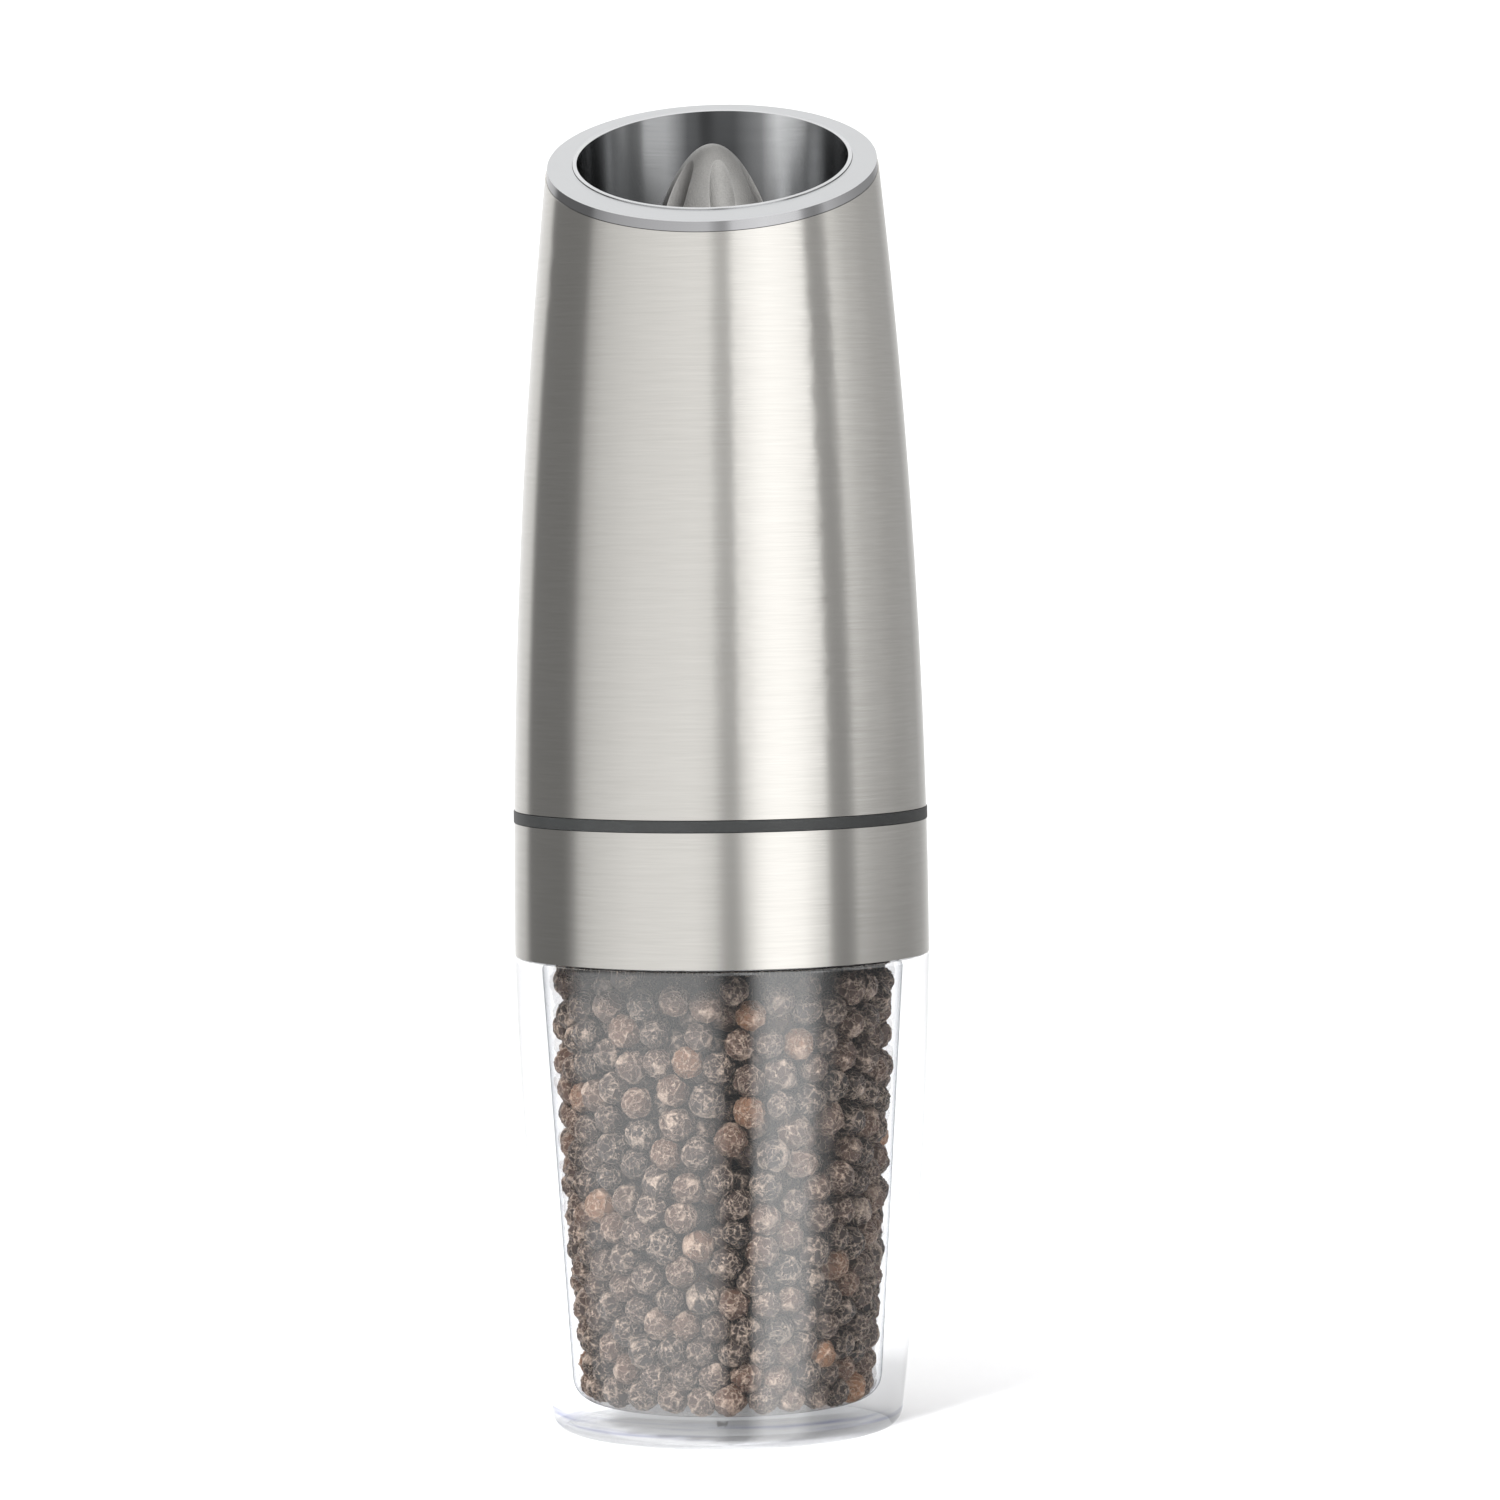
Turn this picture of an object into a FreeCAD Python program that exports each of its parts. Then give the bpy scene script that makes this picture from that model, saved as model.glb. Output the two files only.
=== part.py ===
"""Battery pepper mill that grinds when it is turned over.

The mill stands on its clear jar with the grinding head at the top, under a slanted mouth that faces -Y.
The origin is the centre of the jar's foot, +Z is up and lengths are in millimetres.
Turned over, peppercorns fall from the jar past the motor and batteries, through two chutes and a funnel,
into a ceramic burr that a motor with two planetary stages turns.
"""

import FreeCAD, Part
import math
import os
import Sketcher
from FreeCAD import Placement, Rotation, Vector

doc = FreeCAD.newDocument("pepper_mill")

# ---------------------------------------------------------------- driving dimensions

DIMENSIONS = [
    # outer form
    ("body_radius", 31.5, "outside radius at the seam between jar and steel, the widest place"),
    ("body_curve", 1130.0, "radius of the long arc that narrows the steel body towards the mouth"),
    ("seam_height", 72.0, "top of the jar's visible wall"),
    ("seam_gap", 0.3, "groove between the jar and the steel band"),
    ("band_above_deck", 1.1, "how far the steel band reaches above the chassis deck"),
    ("parting_height", 1.7, "black ring between band and shell"),
    ("parting_gap", 0.1, "groove above and below the black ring"),
    ("parting_proud", 0.12, "how far the black ring stands out of the steel"),
    ("steel_wall", 0.6, "steel sheet"),
    ("mouth_tilt", 21.4, "slope of the mouth, in degrees"),
    ("rim_height", 1.4, "edge of the mouth rim, measured upright"),
    ("rim_width", 4.5, "flat of the rim, from outside to throat"),
    ("rim_inset", 0.15, "how far the rim stands back from the steel"),
    ("rim_spigot", 3.0, "part of the rim that sits inside the shell"),
    ("throat_wall", 0.6, "polished funnel in the mouth"),
    ("throat_lip", 0.15, "how far the funnel's edge stands above the rim"),
    ("throat_cone", 9.0, "height over which the funnel narrows"),
    # jar
    ("jar_foot_radius", 26.5, "outside radius at the foot, before its rounding"),
    ("jar_curve", 720.0, "radius of the arc of the jar's side"),
    ("jar_foot_round", 2.5, "rounding of the foot"),
    ("jar_wall_top", 4.5, "clear wall at the seam"),
    ("jar_wall_foot", 3.6, "clear wall at the floor"),
    ("jar_floor", 4.2, "clear floor"),
    ("jar_bore_round", 3.5, "rounding inside the floor"),
    ("neck_inset", 2.5, "step from the jar's side to its neck"),
    ("neck_height", 15.5, "neck inside the steel band"),
    ("fill_clearance", 0.3, "space between peppercorns and jar"),
    ("fill_above_seam", 1.0, "peppercorns above the seam"),
    # twist locks
    ("lug_angle", 16.0, "width of a locking lug, in degrees"),
    ("lug_height", 2.4, "locking lug"),
    ("lug_depth", 0.9, "how far a lug stands out"),
    ("lug_clearance", 0.3, "space round a lug"),
    ("lug_slack", 2.0, "space at each side of a lug, in degrees"),
    ("jar_twist", 30.0, "turn that locks the jar, in degrees"),
    ("housing_twist", 25.0, "turn that locks the housing, in degrees"),
    ("twist_clearance", 0.25, "space between parts that turn in each other"),
    ("glue_gap", 0.05, "space between parts that are bonded"),
    # chassis
    ("gasket_height", 1.3, "sealing ring on the jar's neck"),
    ("deck_height", 2.5, "floor of the chassis"),
    ("shell_clearance", 0.27, "space between the chassis and the steel shell"),
    ("chute_wall", 1.2, "outer wall of a pepper chute"),
    ("chute_half_angle", 43.0, "half the width of a chute, in degrees"),
    ("window_half_angle", 38.5, "half the width of a window in the deck, in degrees"),
    ("tube_wall", 1.55, "tube round the motor"),
    ("tube_clearance", 0.35, "space between motor and tube"),
    ("dome_height", 9.9, "hollow cone under the deck"),
    ("dome_tip_radius", 5.0, "tip of the cone"),
    ("dome_wall", 1.5, "wall of the cone"),
    ("post_radius", 1.75, "screw posts"),
    ("post_inset", 3.4, "from the outside of the chutes to the posts' centres"),
    ("rib_height", 2.0, "saddle ribs that cradle the batteries"),
    ("plate_height", 2.5, "end plate over the batteries"),
    # batteries
    ("cell_radius", 5.25, "AAA cell"),
    ("cell_body", 43.2, "AAA cell without its button"),
    ("button_height", 1.3, "AAA cell's button"),
    ("button_radius", 1.9, "AAA cell's button"),
    ("cell_spread", 30.5, "angle between neighbouring cells, in degrees"),
    ("cell_inset", 1.15, "from the outside of the chutes to the cells"),
    ("cradle_clearance", 0.25, "space between a cell and its saddle"),
    ("contact_height", 0.35, "contact strip"),
    ("contact_radius", 4.4, "round end of a contact strip"),
    ("spring_height", 4.0, "contact spring, pressed"),
    ("spring_wire", 0.35, "radius of the contact spring's wire"),
    # motor
    ("motor_radius", 12.0, "motor can"),
    ("motor_length", 24.0, "motor can"),
    ("motor_wall", 0.75, "steel of the can"),
    ("motor_shaft_radius", 1.0, "motor shaft"),
    ("end_cap_height", 2.0, "plastic end of the motor"),
    ("terminal_space", 3.4, "space under the motor for its terminals"),
    ("board_height", 1.2, "round switch board"),
    # gearbox
    ("gear_module", 0.4, "tooth size of every gear"),
    ("sun_teeth", 12.0, "teeth"),
    ("planet_teeth", 18.0, "teeth"),
    ("gearbox_wall", 1.9, "wall outside the ring gear's roots"),
    ("input_plate", 1.4, "plate between motor and gears"),
    ("first_gear_height", 3.5, "face width of the first stage"),
    ("second_gear_height", 4.2, "face width of the second stage"),
    ("carrier_height", 1.3, "first planet carrier"),
    ("output_carrier_height", 2.2, "second planet carrier"),
    ("gear_gap", 0.55, "space above and below each gear"),
    ("carrier_radius", 8.6, "planet carriers"),
    ("pin_radius", 0.85, "planet pins"),
    ("running_gap", 0.04, "space between a shaft or pin and its hole"),
    ("cover_height", 2.5, "gearbox cover"),
    # grinding head
    ("drive_shaft_radius", 2.5, "drive shaft"),
    ("shaft_square", 4.2, "square of the drive shaft, across flats"),
    ("thread_radius", 2.0, "threaded end of the drive shaft"),
    ("holder_flange", 2.1, "flange of the burr holder"),
    ("holder_wall", 1.65, "wall of the burr socket"),
    ("funnel_height", 12.1, "funnel above the flange"),
    ("burr_radius", 15.65, "outside of the ceramic ring"),
    ("burr_height", 11.5, "ceramic ring"),
    ("burr_waist_radius", 11.2, "narrowest place of the ring's bore"),
    ("burr_waist_height", 6.0, "from the ring's foot to its waist"),
    ("burr_mouth_radius", 13.4, "ring's bore at its top"),
    ("burr_gap", 0.5, "space between the two burrs, in radius"),
    ("burr_grooves", 24.0, "grinding grooves"),
    ("inner_burr_height", 16.0, "turning burr"),
    ("retainer_height", 1.35, "ring that holds the ceramic ring"),
    ("bush_wall", 1.3, "bushes of the drive shaft"),
    ("hub_height", 4.5, "spider hub in the funnel"),
    ("arm_width", 2.0, "spider arms"),
    # adjusting knob
    ("knob_height", 20.8, "knob from foot to tip"),
    ("knob_radius", 9.87, "foot of the knob"),
    ("knob_fullness", 6.5, "radius squared over depth below the tip"),
    ("knob_proud", 2.35, "how far the tip stands above the middle of the mouth"),
    ("flute_radius", 3.0, "round grooves of the knob"),
    ("flute_depth", 0.85, "how deep the grooves are at the knob's foot"),
    ("insert_radius", 3.8, "brass insert in the knob"),
    ("insert_height", 10.0, "brass insert in the knob"),
]

sheet = doc.addObject("Spreadsheet::Sheet", "Sizes")
for row, (alias, number, note) in enumerate(DIMENSIONS, start=1):
    sheet.set(f"A{row}", alias)
    sheet.set(f"B{row}", str(number))
    sheet.set(f"C{row}", note)
    sheet.setAlias(f"B{row}", alias)
doc.recompute()


class Size:
    """A number with the expression that gives it from the sheet, so that a formula is written once."""

    def __init__(self, value, text):
        self.value = value
        self.text = text

    def __add__(self, other):
        return Size(self.value + value_of(other), f"({self.text} + {text_of(other)})")

    def __radd__(self, other):
        return Size(value_of(other) + self.value, f"({text_of(other)} + {self.text})")

    def __sub__(self, other):
        return Size(self.value - value_of(other), f"({self.text} - {text_of(other)})")

    def __rsub__(self, other):
        return Size(value_of(other) - self.value, f"({text_of(other)} - {self.text})")

    def __mul__(self, other):
        return Size(self.value * value_of(other), f"({self.text} * {text_of(other)})")

    def __rmul__(self, other):
        return Size(value_of(other) * self.value, f"({text_of(other)} * {self.text})")

    def __truediv__(self, other):
        return Size(self.value / value_of(other), f"({self.text} / {text_of(other)})")

    def __rtruediv__(self, other):
        return Size(value_of(other) / self.value, f"({text_of(other)} / {self.text})")


def value_of(quantity):
    return quantity.value if isinstance(quantity, Size) else float(quantity)


def text_of(quantity):
    return quantity.text if isinstance(quantity, Size) else f"{quantity:.9g}"


def root(quantity):
    return Size(math.sqrt(quantity.value), f"sqrt({quantity.text})")


def larger(first, second):
    return Size(max(first.value, second.value), f"max({first.text}; {second.text})")


def cosine(degrees):
    return Size(math.cos(math.radians(value_of(degrees))), f"cos({text_of(degrees)})")


def sine(degrees):
    return Size(math.sin(math.radians(value_of(degrees))), f"sin({text_of(degrees)})")


class Sheet:
    """The sheet's cells as Size attributes, such as size.body_radius."""

    def __getattr__(self, alias):
        return Size(float(sheet.get(alias)), f"Sizes.{alias}")


size = Sheet()
plan = doc.addObject("App::VarSet", "Plan")


def planned(name, quantity):
    """Keeps a worked-out size as a property that follows the sheet, and returns it under its short name."""
    plan.addProperty("App::PropertyFloat", name)
    plan.setExpression(name, quantity.text)
    return Size(quantity.value, f"Plan.{name}")


# ---------------------------------------------------------------- worked-out sizes


def side(height):
    """Outside radius of the steel body at a height."""
    rise = height - size.seam_height
    return size.body_radius - size.body_curve + root(size.body_curve * size.body_curve - rise * rise)


neck_top = planned("neck_top", size.seam_height + size.neck_height)
neck_radius = planned("neck_radius", size.body_radius - size.neck_inset)
bore_radius = planned("bore_radius", size.body_radius - size.jar_wall_top)
deck_bottom = planned("deck_bottom", neck_top + size.gasket_height + 2 * size.glue_gap)
deck_top = planned("deck_top", deck_bottom + size.deck_height)
band_bottom = planned("band_bottom", size.seam_height + size.seam_gap)
band_top = planned("band_top", deck_top + size.band_above_deck)
shell_bottom = planned("shell_bottom", band_top + size.parting_height + 2 * size.parting_gap)

ring_teeth = planned("ring_teeth", size.sun_teeth + 2 * size.planet_teeth)
ring_outside = planned("ring_outside", size.gear_module * (ring_teeth / 2 + 1.25) + size.gearbox_wall)
gearbox_radius = planned("gearbox_radius", larger(ring_outside, size.motor_radius))
orbit = planned("orbit", size.gear_module * (size.sun_teeth + size.planet_teeth) / 2)
tube_bore = planned("tube_bore", gearbox_radius + size.tube_clearance)
tube_radius = planned("tube_radius", tube_bore + size.tube_wall)

cap_bottom = planned("cap_bottom", deck_top + size.board_height + size.terminal_space)
can_bottom = planned("can_bottom", cap_bottom + size.end_cap_height)
can_top = planned("can_top", can_bottom + size.motor_length)
gearbox_bottom = planned("gearbox_bottom", can_top + 2 * size.glue_gap)
first_gears = planned("first_gears", gearbox_bottom + size.input_plate + size.gear_gap)
first_carrier = planned("first_carrier", first_gears + size.first_gear_height + size.gear_gap)
second_sun = planned("second_sun", first_carrier + size.carrier_height)
second_gears = planned("second_gears", second_sun + size.gear_gap)
second_carrier = planned("second_carrier", second_gears + size.second_gear_height + size.gear_gap)
carrier_top = planned("carrier_top", second_carrier + size.output_carrier_height)
cover_bottom = planned("cover_bottom", carrier_top + 2 * size.gear_gap)
cover_top = planned("cover_top", cover_bottom + size.cover_height)

contact_top = planned("contact_top", deck_top + size.contact_height + size.glue_gap)
cell_length = planned("cell_length", size.cell_body + size.button_height)
bay_top = planned("bay_top", contact_top + cell_length + size.spring_height + size.glue_gap)
cover_limit = planned("cover_limit", cover_top + 0.25)
plate_bottom = planned("plate_bottom", larger(bay_top + size.contact_height + size.glue_gap, cover_limit))
upper_contact = planned("upper_contact", plate_bottom - size.contact_height - size.glue_gap)
spring_room = planned("spring_room", upper_contact - size.glue_gap - contact_top - cell_length)
plate_top = planned("plate_top", plate_bottom + size.plate_height)
flange_bottom = planned("flange_bottom", plate_top + size.glue_gap)
flange_top = planned("flange_top", flange_bottom + size.holder_flange)
chute_radius = planned("chute_radius", side(flange_top) - size.steel_wall - size.shell_clearance)
cell_pitch = planned("cell_pitch", chute_radius - size.cell_inset - size.cell_radius)
post_pitch = planned("post_pitch", chute_radius - size.post_inset)
window_inner = planned("window_inner", tube_radius + 0.4)
window_outer = planned("window_outer", chute_radius - size.chute_wall)

funnel_top = planned("funnel_top", flange_top + size.funnel_height)
socket_radius = planned("socket_radius", size.burr_radius + size.holder_wall + 0.1)
ring_foot = planned("ring_foot", funnel_top + 1.0)
ring_top = planned("ring_top", ring_foot + size.burr_height)
socket_top = planned("socket_top", ring_top + 0.9)
hub_bottom = planned("hub_bottom", flange_top + 1.6)
hub_top = planned("hub_top", hub_bottom + size.hub_height)
collar_bottom = planned("collar_bottom", hub_top + 0.5)
collar_top = planned("collar_top", collar_bottom + 1.0)
inner_foot = planned("inner_foot", ring_foot - 0.5)
inner_top = planned("inner_top", inner_foot + size.inner_burr_height)
thread_bottom = planned("thread_bottom", inner_top + 1.5)
knob_foot = planned("knob_foot", inner_top + size.glue_gap)
knob_tip = planned("knob_tip", knob_foot + size.knob_height)
mouth = planned("mouth", knob_tip - size.knob_proud)
throat_radius = planned("throat_radius", side(mouth) - size.rim_width)
throat_foot = planned("throat_foot", socket_top - 1.4)
blank_top = planned("blank_top", mouth + 1.5 * side(mouth) * sine(size.mouth_tilt))

CHUTE_DIRECTIONS = (90, 270)
BAY_DIRECTIONS = (0, 180)
LOCK_DIRECTIONS = (60, 180, 300)
POST_DIRECTIONS = [
    size.chute_half_angle * -1 + 90,
    size.chute_half_angle + 90,
    size.chute_half_angle * -1 + 270,
    size.chute_half_angle + 270,
]


def cell_places():
    """Number, direction and polarity of each cell: the middle one of each bay stands button down."""
    number = 0
    for bay in BAY_DIRECTIONS:
        for step in (-1, 0, 1):
            number += 1
            yield number, size.cell_spread * step + (360 + bay), step != 0


# ---------------------------------------------------------------- drawing helpers

NODES = []


def node(label, thing):
    """Marks an object as one sub-part of the mill, under the name that its file gets."""
    thing.Label = label
    NODES.append(thing)
    return thing


def bind(thing, name, quantity):
    if isinstance(quantity, Size):
        thing.setExpression(name, quantity.text)


def place(thing, x=0, y=0, z=0, turn=0):
    """Puts an object at x, y, z, turned about the upright axis by turn degrees, all tied to the sheet."""
    spot = Vector(value_of(x), value_of(y), value_of(z))
    thing.Placement = Placement(spot, Rotation(Vector(0, 0, 1), value_of(turn)))
    bind(thing, "Placement.Base.x", x)
    bind(thing, "Placement.Base.y", y)
    bind(thing, "Placement.Base.z", z)
    bind(thing, "Placement.Rotation.Angle", turn)
    return thing


def cylinder(name, radius, height, x=0, y=0, z=0, sweep=None, turn=0):
    made = doc.addObject("Part::Cylinder", name)
    made.Radius = value_of(radius)
    made.Height = value_of(height)
    bind(made, "Radius", radius)
    bind(made, "Height", height)
    if sweep is not None:
        made.Angle = value_of(sweep)
        bind(made, "Angle", sweep)
    return place(made, x, y, z, turn)


def cone(name, lower, upper, height, z=0):
    made = doc.addObject("Part::Cone", name)
    made.Radius1 = value_of(lower)
    made.Radius2 = value_of(upper)
    made.Height = value_of(height)
    bind(made, "Radius1", lower)
    bind(made, "Radius2", upper)
    bind(made, "Height", height)
    return place(made, z=z)


def block(name, length, width, height, x=0, y=0, z=0, turn=0):
    """A box that starts at x, runs along it for length, and is centred across its width."""
    made = doc.addObject("Part::Box", name)
    made.Length = value_of(length)
    made.Width = value_of(width)
    made.Height = value_of(height)
    bind(made, "Length", length)
    bind(made, "Width", width)
    bind(made, "Height", height)
    across_x = x * cosine(turn) + width / 2 * sine(turn)
    across_y = x * sine(turn) - width / 2 * cosine(turn) + y
    return place(made, across_x, across_y, z, turn)


def fuse(name, parts):
    made = doc.addObject("Part::MultiFuse", name)
    made.Shapes = list(parts)
    return made


def cut(name, base, *tools):
    made = doc.addObject("Part::Cut", name)
    made.Base = base
    made.Tool = tools[0] if len(tools) == 1 else fuse(name + "_tools", tools)
    return made


def common(name, first, second):
    made = doc.addObject("Part::Common", name)
    made.Base = first
    made.Tool = second
    return made


def group(name, parts):
    """Several separate solids in one sub-part."""
    made = doc.addObject("Part::Compound", name)
    made.Links = list(parts)
    return made


def tube(name, outer, inner, height, z=0, sweep=None, turn=0):
    wall = cylinder(name + "_wall", outer, height, z=z, sweep=sweep, turn=turn)
    hole = cylinder(name + "_hole", inner, height + 2, z=z - 1)
    return cut(name, wall, hole)


def feature(name, shape):
    made = doc.addObject("Part::Feature", name)
    made.Shape = shape
    return made


def plane_of(body, role):
    return next(f for f in body.Origin.OriginFeatures if f.Role == role)


def arc_between(start, end, radius):
    """The short arc from start to end. A positive radius bulges to the right of the way along it."""
    chord = end - start
    middle = (start + end) * 0.5
    right = Vector(chord.y, -chord.x, 0).normalize()
    rise = abs(radius) - math.sqrt(radius * radius - chord.Length**2 / 4)
    return Part.Arc(start, middle + right * math.copysign(rise, radius), end)


def outline(body, corners, arcs=None):
    """A closed outline in the body's XZ plane. Each corner is tied to the sheet, and arcs gives the radius
    of the edges, by the number of the corner they start from, that are arcs."""
    arcs = arcs or {}
    sketch = body.newObject("Sketcher::SketchObject", body.Name + "_outline")
    sketch.AttachmentSupport = (plane_of(body, "XZ_Plane"), [""])
    sketch.MapMode = "FlatFace"
    spots = [Vector(value_of(x), value_of(z), 0) for x, z in corners]
    ends = []
    for i, start in enumerate(spots):
        end = spots[(i + 1) % len(spots)]
        if i in arcs:
            edge = sketch.addGeometry(arc_between(start, end, value_of(arcs[i])))
        else:
            edge = sketch.addGeometry(Part.LineSegment(start, end))
        forward = (sketch.getPoint(edge, 1) - start).Length < 1e-6
        ends.append((1, 2) if forward else (2, 1))
    for i, (x, z) in enumerate(corners):
        before = i - 1 if i else len(corners) - 1
        sketch.addConstraint(Sketcher.Constraint("Coincident", before, ends[before][1], i, ends[i][0]))
        for kind, distance, axis in (("DistanceX", x, -2), ("DistanceY", z, -1)):
            if not isinstance(distance, Size) and distance == 0:
                sketch.addConstraint(Sketcher.Constraint("PointOnObject", i, ends[i][0], axis))
                continue
            held = sketch.addConstraint(
                Sketcher.Constraint(kind, -1, 1, i, ends[i][0], value_of(distance))
            )
            bind(sketch, f"Constraints[{held}]", distance)
    for i, radius in arcs.items():
        held = sketch.addConstraint(Sketcher.Constraint("Radius", i, abs(value_of(radius))))
        if isinstance(radius, Size):
            bind(sketch, f"Constraints[{held}]", radius if radius.value > 0 else radius * -1)
    return sketch


def turned(name, corners, arcs=None):
    """A body that is turned about the upright axis from its outline."""
    body = doc.addObject("PartDesign::Body", name)
    sketch = outline(body, corners, arcs)
    turn = body.newObject("PartDesign::Revolution", name + "_turn")
    turn.Profile = sketch
    turn.ReferenceAxis = (sketch, ["V_Axis"])
    turn.Angle = 360
    doc.recompute()
    return body


def circle_edges(thing, radius, height):
    """Names of the round edges of that radius at that height."""
    found = []
    for number, edge in enumerate(thing.Shape.Edges, start=1):
        if not isinstance(edge.Curve, Part.Circle):
            continue
        right_size = abs(edge.Curve.Radius - value_of(radius)) < 0.01
        if right_size and abs(edge.Curve.Center.z - value_of(height)) < 0.01:
            found.append(f"Edge{number}")
    return found


def rounded(body, radius, edges):
    """Rounds edges of a body's last feature."""
    before = body.Tip
    fillet = body.newObject("PartDesign::Fillet", before.Name + "_round")
    fillet.Base = (before, edges)
    fillet.Radius = value_of(radius)
    bind(fillet, "Radius", radius)
    body.Tip = fillet
    doc.recompute()
    return fillet


def slab(name, height, thickness):
    """A wide slab parallel to the mouth, with its lower face through the upright axis at height."""
    reach = 4 * size.body_radius
    made = doc.addObject("Part::Box", name)
    for prop, quantity in (("Length", reach), ("Width", reach), ("Height", thickness)):
        setattr(made, prop, value_of(quantity))
        bind(made, prop, quantity)
    x = reach / -2
    y = reach / -2 * cosine(size.mouth_tilt)
    z = height - reach / 2 * sine(size.mouth_tilt)
    made.Placement = Placement(
        Vector(value_of(x), value_of(y), value_of(z)),
        Rotation(Vector(1, 0, 0), size.mouth_tilt.value),
    )
    for prop, quantity in (("Base.x", x), ("Base.y", y), ("Base.z", z)):
        bind(made, "Placement." + prop, quantity)
    bind(made, "Placement.Rotation.Angle", size.mouth_tilt)
    return made


SPRING_STEPS = 16  # straight pieces in a turn
SPRING_SIDES = 8


def coil_spring(radius, wire, bottom, height, turns):
    """A coil spring between bottom and bottom + height, of short straight pieces of eight-sided wire."""
    steps = int(round(turns * SPRING_STEPS))
    rise = height - 2 * wire
    points = []
    for i in range(steps + 1):
        angle = 2 * math.pi * i / SPRING_STEPS
        height_now = bottom + wire + rise * i / steps
        points.append(Vector(radius * math.cos(angle), radius * math.sin(angle), height_now))
    along = (points[1] - points[0]).normalize()
    up = along.cross(Vector(1, 0, 0)).normalize()
    across = up.cross(along).normalize()
    corners = []
    for k in range(SPRING_SIDES):
        angle = 2 * math.pi * (k + 0.5) / SPRING_SIDES
        corners.append(points[0] + (across * math.cos(angle) + up * math.sin(angle)) * wire * 1.04)
    section = Part.makePolygon(corners + corners[:1])
    return Part.makePolygon(points).makePipeShell([section], True, False, 1)


# ---------------------------------------------------------------- gears

PRESSURE_ANGLE = math.radians(20)
ADDENDUM = 0.9
DEDENDUM = 1.2
TOOTH_SLACK = 0.07  # mm taken off each flank
FLANK_POINTS = 4


def involute_angle(radius, base):
    """Angle that an involute from the base circle has turned when it reaches radius."""
    if radius <= base:
        return 0.0
    reach = math.sqrt(radius * radius / (base * base) - 1)
    return reach - math.atan(reach)


def gear_outline(teeth, inward=False):
    """Closed polygon of an involute gear with a tooth centred on +X, or of the space inside a ring gear."""
    module = size.gear_module.value
    pitch_radius = module * teeth / 2
    base = pitch_radius * math.cos(PRESSURE_ANGLE)
    outer = pitch_radius + module * (DEDENDUM if inward else ADDENDUM)
    inner = pitch_radius - module * (ADDENDUM if inward else DEDENDUM)
    slack = TOOTH_SLACK / pitch_radius * (1 if inward else -1)
    half_at_pitch = math.pi / (2 * teeth) + slack
    half_at_base = half_at_pitch + involute_angle(pitch_radius, base)
    steps = [inner + (outer - inner) * i / (FLANK_POINTS - 1) for i in range(FLANK_POINTS)]
    flank = [(r, half_at_base - involute_angle(r, base)) for r in steps]
    points = []
    for tooth in range(teeth):
        middle = 2 * math.pi * tooth / teeth
        for r, half in flank:
            points.append((r, middle - half))
        for r, half in reversed(flank):
            points.append((r, middle + half))
    corners = [Vector(r * math.cos(a), r * math.sin(a), 0) for r, a in points]
    return Part.Face(Part.makePolygon(corners + corners[:1]))


def gear(teeth, height, bore=0.0, inward=False):
    """A straight gear that stands on the XY plane."""
    made = gear_outline(int(teeth), inward).extrude(Vector(0, 0, value_of(height)))
    if bore:
        made = made.cut(Part.makeCylinder(bore, value_of(height)))
    return made


# ---------------------------------------------------------------- jar and its seal


def make_jar():
    """Clear jar with a thick wall, a neck that goes up inside the steel band, and three locking lugs."""
    foot_bore = size.jar_foot_radius - size.jar_wall_foot
    body = turned(
        "jar_body",
        [
            (0, 0),
            (size.jar_foot_radius, 0),
            (size.body_radius, size.seam_height),
            (neck_radius, size.seam_height),
            (neck_radius, neck_top),
            (bore_radius, neck_top),
            (bore_radius, size.seam_height),
            (foot_bore, size.jar_floor),
            (0, size.jar_floor),
        ],
        {1: size.jar_curve},
    )
    rounded(body, size.jar_foot_round, circle_edges(body, size.jar_foot_radius, 0))
    rounded(body, size.jar_bore_round, circle_edges(body, foot_bore, size.jar_floor))
    rounded(body, 0.5, circle_edges(body, size.body_radius, size.seam_height))
    lugs = [
        tube(
            f"jar_lug_{n}",
            neck_radius + size.lug_depth,
            neck_radius - 1,
            size.lug_height,
            z=neck_top - size.neck_height * 0.55,
            sweep=size.lug_angle,
            turn=size.lug_angle / -2 + direction,
        )
        for n, direction in enumerate(LOCK_DIRECTIONS, start=1)
    ]
    node("pepper_jar", fuse("pepper_jar", [body, *lugs]))


def make_peppercorns():
    """The filling as one plain solid, just inside the jar's bore."""
    gap = size.fill_clearance
    foot = size.jar_floor + gap
    foot_radius = size.jar_foot_radius - size.jar_wall_foot - gap
    top = size.seam_height + size.fill_above_seam
    body = turned(
        "peppercorns",
        [
            (0, foot),
            (foot_radius, foot),
            (bore_radius - gap, size.seam_height),
            (bore_radius - gap, top),
            (0, top),
        ],
    )
    rounded(body, size.jar_bore_round, circle_edges(body, foot_radius, foot))
    node("peppercorns", body)


def make_gasket():
    """Silicone ring between the jar's neck and the chassis."""
    bottom = neck_top + size.glue_gap
    top = bottom + size.gasket_height
    inner = bore_radius - 0.4
    outer = neck_radius - 0.1
    lip = inner + 0.6
    body = turned(
        "jar_gasket",
        [
            (inner, bottom - 1.2 + size.glue_gap),
            (bore_radius - size.glue_gap, bottom - 1.2 + size.glue_gap),
            (bore_radius - size.glue_gap, bottom),
            (outer, bottom),
            (outer, top),
            (lip, top),
            (inner, top - 0.6),
        ],
    )
    node("jar_gasket", body)


# ---------------------------------------------------------------- chassis


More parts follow.
